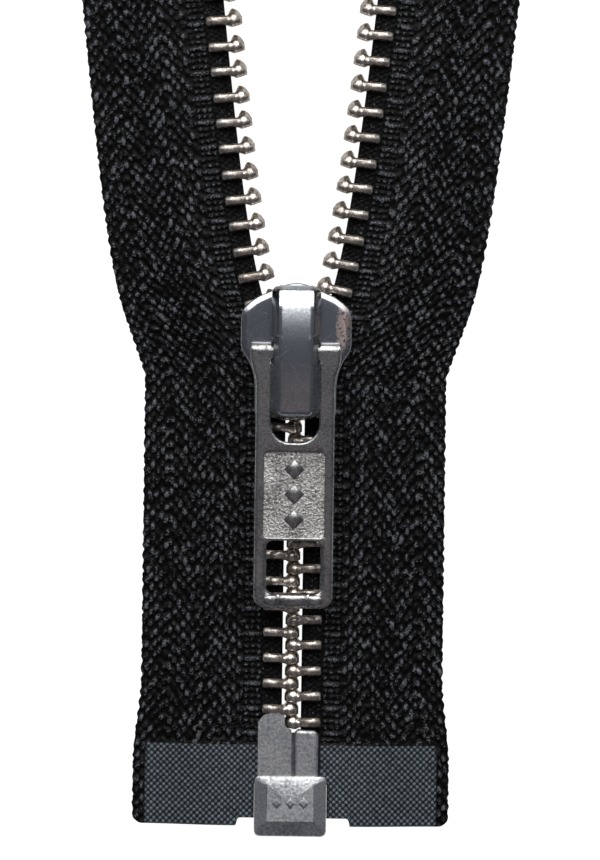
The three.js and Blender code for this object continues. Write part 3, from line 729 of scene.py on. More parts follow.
    def surface(self, along: np.ndarray, out: np.ndarray) -> tuple[np.ndarray, np.ndarray, np.ndarray]:
        """The cloth's relief at each place of a face.

        Args:
            along: places along the row.
            out: places out from it.

        Returns:
            The height above the tape's nominal face, the crest from 0 to 1, which also paints highlight on
            the crowns and shade in the gaps, and the floats' random numbers.
        """
        floats, strand = self.grains(along, out)
        to_ribs = smoothstep(out, 2.95, 3.15) * (1 - smoothstep(out, 4.8, 5.0))
        under_legs = 1 - smoothstep(out, 2.85, 3.05)
        crest = floats * smoothstep(out, 4.8, 5.0) + self.ribs(along, out) * to_ribs
        crest = crest + self.bead_twist(along, out) * under_legs
        pressed = smoothstep(self.film_top + 0.3 - along, 0, 0.3) * smoothstep(self.edge - 1 - out, 0, 0.2)
        height = -0.13 + self.relief * crest - 0.03 * to_ribs
        height = np.where(under_legs > 0, np.minimum(height, 0.02), height)
        height = height * (1 - pressed) - 0.02 * pressed
        bead = 1 - ((out - (self.bead[0] + self.bead[1]) / 2) / 0.35) ** 2
        height = height + 0.09 * np.sqrt(np.maximum(bead, 0))
        # the colour's crest, painted highlight and shade: a little brighter over the ribbed band, and darker
        # under the legs as painted shade from the teeth
        shown = crest * (1 + 0.22 * to_ribs - 0.1 * under_legs)
        return height, np.clip(shown, 0, 1.2), strand

    def skin(self, name: str, finish: bpy.types.Material, smooth: float, face: int, outer: np.ndarray,
             inner: np.ndarray, **values: np.ndarray) -> bpy.types.Object:
        """A closed sheet: a grid of points on each of its two sides, joined by a wall round the border.

        Args:
            name: of the piece.
            finish: its material.
            smooth: the angle in degrees past which an edge is sharp.
            face: 1 if its outer side faces up, -1 if it faces down.
            outer: the points of the outer side.
            inner: the points of the other side, in the same order.
            values: for each attribute's name, its numbers at the grid's points.

        Returns:
            The object.
        """
        rows, columns, _ = outer.shape
        quads = grid_quads(rows, columns)
        total = rows * columns
        ids = np.arange(total).reshape(rows, columns)
        rim = np.concatenate([ids[0], ids[1:-1, -1], ids[-1, ::-1], ids[-2:0:-1, 0]])
        ahead = np.roll(rim, -1)
        faces = [quads, quads[:, ::-1] + total, np.stack([rim, rim + total, ahead + total, ahead], 1)]
        if self.side.value * face < 0:
            faces = [f[:, ::-1] for f in faces]
        shell = Shell()
        shell.add(np.concatenate([outer.reshape(-1, 3), inner.reshape(-1, 3)]), faces)
        piece = shell.build(name, [finish], smooth=smooth, recalculate=False)
        for label, numbers in values.items():
            attribute = piece.data.attributes.new(label, "FLOAT", "POINT")
            attribute.data.foreach_set("value", np.tile(numbers.ravel(), 2).astype(np.float32))
        return piece

    def sheet(self, low: float | None, high: float, name: str) -> bpy.types.Object:
        """One of the tape's two sheets.

        A column keeps its place across the weave, and the rows near the lower end follow its line. The
        border is round in section, and the outer edge is scalloped by the selvedge's returning weft.

        Args:
            low: where it starts along the row, or None for the tape's lower end.
            high: where it ends.
            name: of the piece.

        Returns:
            The object.
        """
        start = self.bottom if low is None else low
        rows = int((high - start) / 0.142)
        columns = 118
        t, c = np.meshgrid(np.linspace(0, 1, rows), np.linspace(0, 1, columns), indexing="ij")
        along = start + (high - start) * t
        inner = self.inner_edge(along)
        out = inner + (self.edge - inner) * c
        if low is None:
            along = along + (self.lower_end(out) - self.bottom) * (1 - smoothstep(along, 1.0, 4.5))
        widened = self.edge_at(along) - self.edge
        loop = np.abs(np.sin(math.pi * along / (self.repeat / 2) + 0.6 * np.sin(along * 0.9)))
        knots = np.sin(along * 7.3 + 2 * np.sin(along * 1.7))
        scallop = (0.12 * loop + 0.04 * knots - 0.08) * smoothstep(out, self.edge - 0.7, self.edge)
        across = out + widened * smoothstep(out, self.level_to, self.edge) + scallop
        relief, crest, strand = self.surface(along, out)
        border = np.clip((out - (self.edge - 0.3)) / 0.3, 0, 1)
        bead = np.clip((self.bead[0] + 0.25 - out) / 0.25, 0, 1)
        thin = np.sqrt(np.maximum(1 - border**2, 0.02)) * np.sqrt(np.maximum(1 - bead**2, 0.02))
        middle = self.middle_height(across, self.edge_at(along))
        place_at = ROW.tape_point(along, across) * np.array([self.side.value, 1])
        front = np.dstack([place_at, middle + (self.half_thick + relief) * thin])
        back = np.dstack([place_at, np.maximum(middle - (self.half_thick + relief) * thin, 0.03)])
        return self.skin(name, self.finish, 75, 1, front, back, crest=crest, strand=strand)

    def film(self, face: int) -> bpy.types.Object:
        """A stiffening film on one face of the tape's end.

        Its outer face is embossed: the product of two triangle waves on the diagonals gives a field of
        small pyramids.

        Args:
            face: 1 for the front and -1 for the back.

        Returns:
            The object.
        """
        rows, columns = 112, 152
        t, c = np.meshgrid(np.linspace(0, 1, rows), np.linspace(0, 1, columns), indexing="ij")
        along = self.bottom + (self.film_top - self.bottom) * t
        edge = self.edge_at(along)
        inner = self.beside_box + (self.pin_outer + 0.06 - self.beside_box) * smoothstep(along, *self.box_rim)
        out = inner + (edge - self.film_margin - inner) * c
        along = along + (self.lower_end(out) - self.bottom) * (1 - smoothstep(along, 1.0, 4.5))
        along = along + 0.05 * (1 - t)
        a = np.abs((out + along) / self.emboss % 1 - 0.5) * 2
        b = np.abs((out - along) / self.emboss % 1 - 0.5) * 2
        # the pyramids' height, which also paints highlight on their tops and shade in the grooves between
        # them
        crest = np.clip(2.2 * (1 - a) * (1 - b), 0, 1)
        fade = np.minimum(smoothstep(c, 0, 0.02), smoothstep(1 - c, 0, 0.02))
        crest = crest * fade * smoothstep(1 - t, 0, 0.02)
        middle = self.middle_height(out, edge)
        near = self.half_thick + self.film_gap - 0.02
        far = self.half_thick + self.film_gap + 0.08 + 0.08 * crest
        place_at = ROW.tape_point(along, out) * np.array([self.side.value, 1])
        outer = np.dstack([place_at, np.maximum(middle + face * far, 0.02)])
        bonded = np.dstack([place_at, middle + face * near])
        word = "front" if face > 0 else "back"
        name = f"{self.side.word}_stiffening_film_{word}"
        piece = self.skin(name, self.film_finish, 60, face, outer, bonded, crest=crest)
        return place(piece, "chain", "stiffening_film", f"{self.side.word}_film_{word}")

    def build(self) -> None:
        """Makes the two sheets and the two films, and hides the tape's CAD nodes."""
        word = self.side.word
        films = [self.film(1), self.film(-1)]
        lower = self.sheet(None, self.seam, f"{word}_tape_closed")
        upper = self.sheet(self.seam, self.top, f"{word}_tape_open")
        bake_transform(lower)
        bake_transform(upper)
        for piece, low, high, nodes, pieces in (
            (lower, self.bottom, self.seam, ("lower", "throat"), films),
            (upper, self.seam, self.top, ("upper",), []),
        ):
            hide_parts(*(f"{word}_tape_{n}" for n in nodes))


# ---- Teeth ----


@dataclass
class ToothRow:
    """One side's teeth and its top stop: heads with a nib above and a socket below, on two legs."""

    side: Side
    finish: bpy.types.Material
    reach: float = 0.75  # of the head past the middle line
    leg_half: float = 0.475
    tape_gap: float = 0.36

    def head(self) -> np.ndarray:
        """The head's rings, from its tip out to the legs.

        The half sections run from the socket below, round the corner, over the face, down a slope that
        faces up the chain, and out to the nib. Each of their sizes is drawn along the head by straight
        stretches: the reach of the nib, the lower side, the end of the slope and the height.

        Returns:
            Stations by points around by three, about the tooth's own place on the row.
        """
        u = -self.reach + (1.02 + self.reach) * (1 - np.cos(np.linspace(0.1, 1, 18) * math.pi)) / 2
        nib = np.interp(u, (-0.75, -0.7, -0.45, -0.1, 0.26, 0.5, 0.68, 0.9),
                        (0.05, 0.3, 0.78, 1.05, 1.17, 0.85, 0.5, 0.46))
        low = np.interp(u, (-0.75, -0.68, 0.45, 0.68, 0.9), (0.32, 0.46, 0.68, 0.54, 0.47))
        slope = np.interp(u, (-0.75, -0.5, -0.1, 0.3, 0.6, 0.9), (0.04, 0.42, 0.6, 0.6, 0.46, 0.44))
        tall = np.interp(u, (-0.75, -0.66, -0.45, -0.1, 0.25, 0.6, 1.0),
                         (0.4, 0.7, 0.98, 1.2, 1.25, 1.13, 1.12))
        socket = 0.56 * np.clip(1 - (u / 0.62) ** 2, 0, 1)
        past = nib - slope
        s = [socket - low, 0.9 * socket - low, -low, -low, 0.12 - low, -0.36 * low, 0.08 + 0 * low,
             0.72 * slope, slope, slope + 0.25 * past, slope + 0.7 * past, nib]
        z = [0 * tall, 0.2 * tall, 0.6 * tall, 0.8 * tall, 0.95 * tall, tall, tall - 0.02, tall - 0.2,
             tall - 0.36, 0.52 * tall, 0.28 * tall, 0.08 * tall]
        s, z = np.stack(s, 1), np.stack(z, 1)
        s = np.concatenate([s, s[:, :0:-1]], 1)
        z = np.concatenate([z, -z[:, :0:-1]], 1)
        return np.stack([np.repeat(u[:, None], s.shape[1], 1), s, z], -1)

    def leg(self, face: int, half: float) -> np.ndarray:
        """A leg's rings, out from the head to its foot.

        The section is a bar whose top slopes away up the chain from a ridge near its lower side. Along the
        leg the top goes in three facets: up from the head, nearly level, then down to the foot.

        Args:
            face: 1 for the front leg and -1 for the back one.
            half: half of its thickness along the row.

        Returns:
            Stations by points around by three.
        """
        u = np.array([0.62, 0.95, 1.3, 1.32, 2.3, 2.32, 2.78, 2.9, 2.95])
        top = np.array([1.1, 1.16, 1.25, 1.25, 1.18, 1.17, 1.0, 0.88, 0.76])
        wide = half * np.array([0.9, 0.94, 1.0, 1.0, 1.04, 1.04, 1.0, 0.94, 0.84])
        gap = np.full(len(u), self.tape_gap)
        s = [-wide, -wide, 0.16 - wide, 0.32 - wide, 0.6 * wide, wide, wide]
        z = [gap, top - 0.3, top - 0.05, top, top - 0.074, top - 0.285, gap]
        s, z = np.stack(s, 1), np.stack(z, 1)
        rings = np.stack([np.repeat(u[:, None], s.shape[1], 1), s, face * z], -1)
        return rings if face > 0 else rings[:, ::-1]

    def set_on_row(self, rings: np.ndarray, along: float) -> np.ndarray:
        """Rings about the tooth's own place, turned by the row's lean and set on the row."""
        lean = float(ROW.lean(along))
        x, y = ROW.point(along)
        out, up = rings[..., 0], rings[..., 1]
        return np.stack([(x + out * math.cos(lean) + up * math.sin(lean)) * self.side.value,
                         y - out * math.sin(lean) + up * math.cos(lean), rings[..., 2] + CHAIN_Z], -1)

    def add_tooth(self, shell: Shell, index: int, rng: np.random.Generator) -> None:
        """Adds one tooth to a shell, with the small differences that crimping leaves."""
        along = FIRST_TOOTH + (PITCH / 2 if self.side is Side.LEFT else 0) + index * PITCH
        along += STRETCH if index >= FIRST_LOOSE else 0
        along += rng.normal(0, 0.018)
        for rings in (self.head(), self.leg(1, self.leg_half), self.leg(-1, self.leg_half)):
            rings = rings * (1, 1, 1 + rng.normal(0, 0.006))
            shell.add_loft(self.set_on_row(rings, along))

    def build(self) -> None:
        """Makes the closed row as one piece, each loose tooth as its own, and the top stop."""
        rng = np.random.default_rng(SEED * 3 + self.side.value)
        word = self.side.word
        closed = Shell()
        for index in range(FIRST_LOOSE):
            self.add_tooth(closed, index, rng)
        piece = closed.build(f"{word}_closed_row", [self.finish], smooth=36)
        place(piece, "chain", "tooth_metal", f"{word}_closed_teeth")
        for index in range(FIRST_LOOSE, TEETH):
            shell = Shell()
            self.add_tooth(shell, index, rng)
            piece = shell.build(f"{word}_tooth_piece_{index + 1:02d}", [self.finish], smooth=36)
            body = f"{word}_throat" if index < FIRST_SIDE else f"{word}_side"
            place(piece, body, "tooth_metal", f"{word}_tooth_{index + 1:02d}")
        self.top_stop()

    def top_stop(self, start: float = 88.4, length: float = 2.8) -> None:
        """Makes the clip that ends the row: a plain head and legs, drawn out along the row.

        Args:
            start: its lower end along the row.
            length: of the clip.
        """
        shell = Shell()
        half = length / 2
        turn = np.linspace(0, 2 * math.pi, 24, endpoint=False)
        u = np.array([-0.3, -0.26, -0.1, 0.4, 1.0])
        size = np.array([0.8, 0.9, 1.0, 1.0, 0.96])[:, None]
        unit = [np.sign(f(turn)) * np.abs(f(turn)) ** 0.4 for f in (np.cos, np.sin)]
        bridge = np.stack([np.repeat(u[:, None], 24, 1), half * size * unit[0], 1.15 * size * unit[1]], -1)
        for rings in (bridge, self.leg(1, half), self.leg(-1, half)):
            shell.add_loft(self.set_on_row(rings, start + half))
        piece = shell.build(f"{self.side.word}_end_clip", [self.finish], smooth=36)
        place(piece, f"{self.side.word}_side", "tooth_metal", f"{self.side.word}_top_stop")


# ---- Slider ----


@dataclass
class Slider:
    """The slider: two blades joined by a wedge, flanges round the tape slots, and a crown on top."""

    finish: bpy.types.Material
    start: float = 41.8
    half: float = 5.53
    tail_half: float = 4.05
    length: float = 13.45

    def blade_outline(self) -> np.ndarray:
        """The blades' outline, counterclockwise: a narrow tail, square shoulders and an arched nose."""
        w, t = self.half, self.tail_half
        side = [(t - 0.6, 0.0), (t - 0.12, 0.14), (t, 0.6), (t + 0.02, 2.0), (t + 0.06, 3.6), (t + 0.3, 4.7),
                (w - 0.75, 5.7), (w - 0.16, 6.6), (w, 7.4), (w, 8.6), (w, 9.7), (w - 0.12, 10.5),
                (w - 0.45, 11.1), (w - 1.35, 11.85), (w - 2.2, 12.3), (2.5, 12.66), (1.55, 13.1),
                (0.8, 13.35)]
        right = [(x, y + self.start) for x, y in side]
        left = [(-x, y) for x, y in reversed(right)]
        return curve_through([*right, (0, self.start + self.length), *left, (0, self.start)], 4)

    def add_blade(self, shell: Shell, face: float, away: float) -> None:
        """Adds a blade with its rim cut at 28 degrees and buffed round.

        The rings go in from the inner face's edge, up the wall, across the cut, and then shrink to the
        middle of the flat outer face.

        Args:
            shell: that it goes into.
            face: height of its outer face.
            away: 1 if the outer face is the upper one, -1 if it is the lower.
        """
        outline = self.blade_outline()
        centre = np.array([0, self.start + 7.6])
        inner = face - away * BLADE
        rim = ((0, 0.42), (0.03, 0.32), (0.09, 0.245), (0.16, 0.205), (0.5, 0.03), (0.56, 0.008), (0.64, 0.0))
        rings = [(inset(outline, 0.12), np.full(len(outline), inner)),
                 (outline, np.full(len(outline), inner + away * 0.12))]
        for depth, drop in rim:
            rings.append((inset(outline, depth), np.full(len(outline), face - away * drop)))
        rolled = rings[-1][0]
        for size in (0.9, 0.75, 0.6, 0.45, 0.3, 0.15, 0.04):
            rings.append((centre + (rolled - centre) * size, np.full(len(outline), face)))
        shell.add_loft(np.stack([np.column_stack([ring, z]) for ring, z in rings]))

    def flange_outline(self) -> np.ndarray:
        """The rim of a blade beside a row, on the right."""
        w, t = self.half, self.tail_half
        points = [(3.15, 0.1), (t - 0.15, 0.1), (t - 0.05, 3.9), (w - 0.9, 5.5), (w - 0.1, 7.1),
                  (w - 0.1, 10.0), (w - 0.45, 10.0), (4.2, 7.0), (3.15, 3.6)]
        return np.array(points) + (0, self.start)

    def build(self) -> None:
        """Makes the slider's body: two blades, a flange on each beside each row, and the wedge."""
        shell = Shell()
        self.add_blade(shell, SLIDER_TOP, 1)
        self.add_blade(shell, 0.0, -1)
        flange = self.flange_outline()
        mirrored = (flange * (-1, 1))[::-1]
        for low, high in ((0.8, 1.9), (3.1, 4.2)):
            shell.add_plate(flange, (low, high), 0.08)
            shell.add_plate(mirrored, (low, high), 0.08)
        wedge = [(-0.25, 8.9), (0.25, 8.9), (0.9, 10.6), (1.5, 12.4), (0.8, 12.75), (0, 12.85),
                 (-0.8, 12.75), (-1.5, 12.4), (-0.9, 10.6)]
        shell.add_plate(np.array(wedge) + (0, self.start), (0.7, 4.3), 0.05)
        piece = shell.build("slider_blades", [self.finish], smooth=50)
        weigh_normals(piece)
        place(piece, "slider", "polished_nickel", "slider_body")


@dataclass
class Crown:
    """The pressed cover over the pull's bar: a trough turned over, with flat top and steep sides."""

    finish: bpy.types.Material
    rear: float = 42.0
    front: float = 54.55
    half: float = 2.02
    flat_half: float = 1.45
    height: float = 3.45
    sheet: float = 0.45
    pintle_y: float = 48.45
    window: float = 1.2
    window_top: float = 7.42

    def top_at(self, y: np.ndarray) -> np.ndarray:
        """The height of the top: an arch, steeper in front, easing into a slope, then round at both ends."""
        middle = (self.rear + self.front) / 2
        arch = self.height - np.where(y > middle, 0.58, 0.42) * ((y - middle) / 6.3) ** 2
        past = np.maximum(y - (self.front - 1.9), 0)
        arch = arch - 0.42 * past * past / (past + 0.5)
        ahead = np.clip((y - (self.front - 0.35)) / 0.35, 0, 1)
        behind = np.clip((self.rear + 0.6 - y) / 0.6, 0, 1)
        front_end = (1 - ahead**2.2) ** (1 / 2.2)
        rear_end = (1 - behind**2.4) ** (1 / 2.4)
        return SLIDER_TOP + 0.02 + arch * np.minimum(front_end, rear_end)

    def half_at(self, y: np.ndarray) -> np.ndarray:
        """The half width: full, but for rounded corners at both ends."""
        ahead = np.clip((y - (self.front - 0.5)) / 0.5, 0, 1)
        behind = np.clip((self.rear + 0.75 - y) / 0.75, 0, 1)
        return self.half - 0.3 * (1 - np.sqrt(1 - ahead**2)) - 0.7 * (1 - np.sqrt(1 - behind**2))

    def build(self) -> None:
        """Makes the crown as an open grid and gives it its wall.

        Each section across it runs from one foot up the steep side, over a tight shoulder, across the top
        and down again. Over the bar, the feet stand higher, which leaves the windows that its arms pass by.
        """
        low, high = self.pintle_y - self.window, self.pintle_y + self.window
        quarter = np.linspace(0, math.pi / 2, 9)
        y = np.concatenate([self.rear + 0.6 * (1 - np.cos(quarter)), np.linspace(self.rear + 1.2, low, 6),
                            [low + 0.01], np.linspace(low + 0.3, high - 0.3, 4), [high - 0.01],
                            np.linspace(high, self.front - 2, 8),
                            np.linspace(self.front - 1.85, self.front - 0.4, 14),
                            self.front - 0.35 * (1 - np.sin(quarter))])
        top = self.top_at(y)
        half = self.half_at(y)
        over_bar = (y > low + 0.005) & (y < high - 0.005)
        foot = np.minimum(np.where(over_bar, self.window_top, SLIDER_TOP), top - 0.005)
        across = np.array([0.35, 0.8, 0.96, 1.0])  # shares of the flat's half width
        fall = np.array([0, 0, 0, 0.012])
        flat = self.flat_half * half / self.half
        side_x = np.stack([half - 0.03, half, half], 1)
        side_z = np.stack([top - 1.35, top - 1.65, foot], 1)
        right_x = np.concatenate([flat[:, None] * across, side_x], 1)[:, ::-1]
        right_z = np.maximum(np.concatenate([top[:, None] - fall, side_z], 1), foot[:, None])[:, ::-1]
        x = np.concatenate([right_x, np.zeros((len(y), 1)), -right_x[:, ::-1]], 1)
        z = np.concatenate([right_z, top[:, None], right_z[:, ::-1]], 1)
        points = np.stack([x, np.repeat(y[:, None], x.shape[1], 1), z], -1)
        shell = Shell()
        shell.add(points, [grid_quads(*x.shape)])
        piece = shell.build("slider_crown", [self.finish], smooth=50, recalculate=False)
        wall = piece.modifiers.new("wall", "SOLIDIFY")
        wall.thickness = self.sheet * MM
        wall.offset = -1
        weigh_normals(piece)
        place(piece, "slider", "polished_nickel", "slider_cover")


# ---- Pull tab ----


@dataclass
class PullTab:
    """The pull: a bar under the crown, two arms, a blasted panel and an open window."""

    finish: bpy.types.Material
    panel_finish: bpy.types.Material
    pintle: tuple[float, float] = (48.45, 6.2)  # Y and Z of the bar's axis
    bar_radius: float = 0.62
    thick: float = 1.7
    length: float = 26.4
    head: float = 0.8
    head_width: float = 9.1
    width: float = 7.9
    neck: float = 2.85
    loop: tuple[float, float] = (4.8, 9.1)  # width, and how far it reaches from the bar's axis
    panel: tuple[float, float, float] = (6.05, 9.95, 18.55)  # width, near end, far end
    panel_depth: float = 0.25
    window: tuple[float, float, float] = (5.35, 18.85, 24.1)
    seam: float = 1.4

    def __post_init__(self) -> None:
        """Works out the lean: the far end hangs just high enough to pass over the retainer box."""
        drop = self.pintle[1] - self.thick / 2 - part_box("retainer_box")[1].z / MM - 0.1
        self.lean = math.asin(drop / (self.length - self.head))

    def outline(self) -> np.ndarray:
        """The outline, counterclockwise: a straight shank with round corners, flaring to the head."""
        w, h, end = self.width / 2, self.head_width / 2, self.head - self.length
        turn = np.radians(np.linspace(-90, 0, 8))
        corner = np.stack([w - 1.2 + 1.2 * np.cos(turn), end + 1.2 + 1.2 * np.sin(turn)], 1)
        t = np.linspace(0, 1, 12)[:, None]
        controls = ((w, -self.neck - 1), (w, -self.neck + 0.9), (h, -1.9), (h, -0.35))
        a, b, c, d = (np.array(p) for p in controls)
        flare = a * (1 - t) ** 3 + 3 * b * t * (1 - t) ** 2 + 3 * c * t * t * (1 - t) + d * t**3
        turn = np.radians(np.linspace(0, 90, 7))[1:]
        top = np.stack([h - 0.45 + 0.45 * np.cos(turn), 0.45 * np.sin(turn)], 1)
        shank = np.stack([np.full(5, w), np.linspace(end + 3, -self.neck - 4, 5)], 1)
        right = np.concatenate([corner, shank, flare, top])
        return np.concatenate([right, (right * (-1, 1))[::-1]])

    def loop_outline(self) -> np.ndarray:
        """The loop's opening: a U, closed above by the bar."""
        w, end = self.loop[0] / 2, -self.loop[1]
        turn = np.radians(np.linspace(-90, 0, 10))
        corner = np.stack([w - 1.9 + 1.9 * np.cos(turn), end + 1.9 + 1.9 * np.sin(turn)], 1)
        top = self.head - 1.45
        right = np.concatenate([corner, [(w, end / 2), (w, top - 0.3), (w - 0.3, top)]])
        return np.concatenate([right, (right * (-1, 1))[::-1]])

    def set_on_bar(self, shell: Shell) -> None:
        """Turns all of the shell's points by the lean about the bar's axis and sets them on it."""
        cos, sin = math.cos(self.lean), math.sin(self.lean)
        for points in shell.points:
            y, z = points[:, 1].copy(), points[:, 2].copy()
            points[:, 1] = self.pintle[0] + y * cos - z * sin
            points[:, 2] = self.pintle[1] + y * sin + z * cos

    def add_head(self, shell: Shell) -> None:
        """Adds the bar under the crown, and a barrel on each side of it that rounds off the head.

        A barrel's radius is half the pull's thickness times a share that falls off towards its ends.
        """
        turn = np.linspace(0, 2 * math.pi, 48, endpoint=False)
        circle = self.bar_radius * np.stack([np.zeros(48), np.cos(turn), np.sin(turn)], 1)
        shell.add_loft(np.stack([circle + (x, 0, 0) for x in (-3.0, -1, 1, 3.0)]))
        h = self.head_width / 2
        x = np.array([2.12, 2.2, 2.5, 3.4, h - 0.4, h - 0.2, h - 0.06, h])
        size = self.thick / 2 / self.bar_radius * np.array([0.86, 0.95, 1, 1, 1, 0.96, 0.87, 0.7])
        barrel = circle[None] * size[:, None, None] + np.stack([x, 0 * x, 0 * x], 1)[:, None]
        shell.add_loft(barrel)
        shell.add_loft(barrel * (-1, 1, 1))

    def add_lower_bar(self, shell: Shell) -> None:
        """Adds the three rolls of the lower bar: a tongue in the middle and one roll on each side of it.

        A roll's section is a circle with its sine and cosine to the power 0.8, made smaller at its ends.
        """
        turn = np.linspace(0, 2 * math.pi, 48, endpoint=False)
        middle = (self.head - self.length - self.window[2]) / 2
        unit = np.stack([np.sign(f(turn)) * np.abs(f(turn)) ** 0.8 for f in (np.cos, np.sin)], -1)
        tongue = self.seam * np.array([-1, -0.98, -0.94, 0.94, 0.98, 1])
        side = self.seam + np.array([0.16, 0.18, 0.24, 1.0, 1.3, 1.5])
        size = np.array([0.84, 0.95, 1, 1, 0.95, 0.8])[:, None, None]
        for x, deep, proud in ((tongue, 0.8, 0.13), (side, 0.75, 0.1), (-side, 0.75, 0.1)):
            ring = size * unit * (deep, 0.93)
            shell.add_loft(np.stack([np.repeat(x[:, None], len(turn), 1), middle + ring[..., 0],
                                     proud + ring[..., 1]], -1))

    def build(self) -> None:
        """Makes the pull flat about the bar's axis, with three lozenges on its panel, and hangs it there."""
        half = self.thick / 2
        panel_width, panel_near, panel_far = self.panel
        panel = rounded_box((-panel_width / 2, panel_width / 2), (-panel_far, -panel_near), 0.5)
        width, near, far = self.window
        window = rounded_box((-width / 2, width / 2), (-far, -near), 0.6)
        window_rim = 0.14 + 0.42 * smoothstep(-window[:, 1], near + 0.05, near + 0.6)
        shell = Shell()
        shell.add_plate(self.outline(), (-half, half), 0.42,
                        ((self.loop_outline(), 0.25), (window, window_rim)), (panel, self.panel_depth))
        low = half - self.panel_depth - 0.05
        high = half - self.panel_depth + 0.16
        steps = ((1.12, low), (1.0, (low + high) / 2), (0.8, high))
        for step in (-1, 0, 1):
            mark_y = -(panel_near + panel_far) / 2 + 2.5 * step
            shell.add_loft(lozenge((0, mark_y), (0.95, 1.0), steps))
        self.add_head(shell)
        self.add_lower_bar(shell)
        self.set_on_bar(shell)
        piece = shell.build("pull_tab_cast", [self.finish, self.panel_finish], smooth=50)
        weigh_normals(piece)
        place(piece, "pull", "satin_nickel", "pull_tab")


# ---- Retainer box and pins ----


@dataclass
class Retainer:
    """The box at the lower end and the two pins that stand in it."""

    finish: bpy.types.Material
    half: float = 3.6
    length: float = 6.05
    thick: float = 3.8
    flat: tuple[float, float, float] = (2.35, 1.5, 0.8)  # half width, lower bevel, upper bevel
    drop: tuple[float, float] = (0.95, 0.5)  # how far the bevels fall, below and above
    face_lean: float = 0.052  # the front's fall up the chain, per mm
    crease: float = 22  # degrees, the smallest angle between facets that shows as an edge

    def box_rings(self) -> np.ndarray:
        """The box's rings from its back face to its front: a mitred bevel, an upright wall, a bevel."""
        outer = rounded_box((-self.half, self.half), (0, self.length), 0.55, 4)
        inner_y = (self.flat[1], self.length - self.flat[2])
        inner = rounded_box((-self.flat[0], self.flat[0]), inner_y, 0.08, 4)
        fall = self.drop[0] + (self.drop[1] - self.drop[0]) * outer[:, 1] / self.length
        z = self.thick / 2
        lean = self.face_lean * (inner[:, 1] - self.flat[1])
        steps = [(0.0, np.full(len(outer), -z)), (0.95, 0.95 * fall - z), (1.0, fall + 0.08 - z),
                 (1.0, z - fall - 0.08), (0.95, z - 0.95 * fall - 0.05 * lean), (0.0, z - lean)]
        rings = [np.column_stack([inner + (outer - inner) * size, CHAIN_Z + height])
                 for size, height in steps]
        return np.stack(rings)

    def build_box(self) -> None:
        """Makes the box, with three small raised lozenges on its front."""
        shell = Shell()
        shell.add_loft(self.box_rings())
        middle = (self.flat[1] + self.length - self.flat[2]) / 2
        face = CHAIN_Z + self.thick / 2 - self.face_lean * (middle - self.flat[1])
        steps = ((1.1, face - 0.05), (1.0, face + 0.03), (0.6, face + 0.18))
        for x in (-1.35, 0, 1.35):
            shell.add_loft(lozenge((x, middle), (0.5, 0.62), steps))
        piece = shell.build("retainer_box_cast", [self.finish], smooth=self.crease)
        edges = piece.modifiers.new("worn edges", "BEVEL")
        edges.width = 0.07 * MM
        edges.segments = 2
        edges.limit_method = "ANGLE"
        edges.angle_limit = math.radians(self.crease)
        weigh_normals(piece)
        place(piece, "chain", "satin_nickel", "retainer_box")

    def build_pins(self) -> None:
        """Makes the two pins as plates. The right one has a low lip that the left one stands over."""
        z = (CHAIN_Z - 1.15, CHAIN_Z + 1.15)
        left = np.array([(2.87, 1.4), (2.87, 11.3), (2.5, 11.75), (1.45, 12.05), (1.08, 11.75), (1.02, 10.9),
                         (0.62, 10.45), (0.38, 10.3), (0.38, 1.4)])
        right = np.array([(0.33, 1.4), (2.75, 1.4), (2.75, 10.2), (2.35, 10.62), (0.7, 10.68),
                          (0.33, 10.35)])
        for name, outline, node in (("insertion_post", left * (-1, 1), "insertion_pin"),
                                    ("retaining_post", right, "retaining_pin")):
            shell = Shell()
            shell.add_plate(outline, z, 0.42)
            if node == "retaining_pin":
                lip = np.array([(-0.34, 1.6), (0.5, 1.6), (0.5, 10.3), (-0.34, 10.3)])
                shell.add_plate(lip, (z[0] + 0.1, z[0] + 0.7), 0.05)
            piece = shell.build(name, [self.finish], smooth=50)
            weigh_normals(piece)
            place(piece, "chain", "satin_nickel", node)

    def build(self) -> None:
        """Makes the box and the pins."""
        self.build_box()
        self.build_pins()


# ---- Studio ----


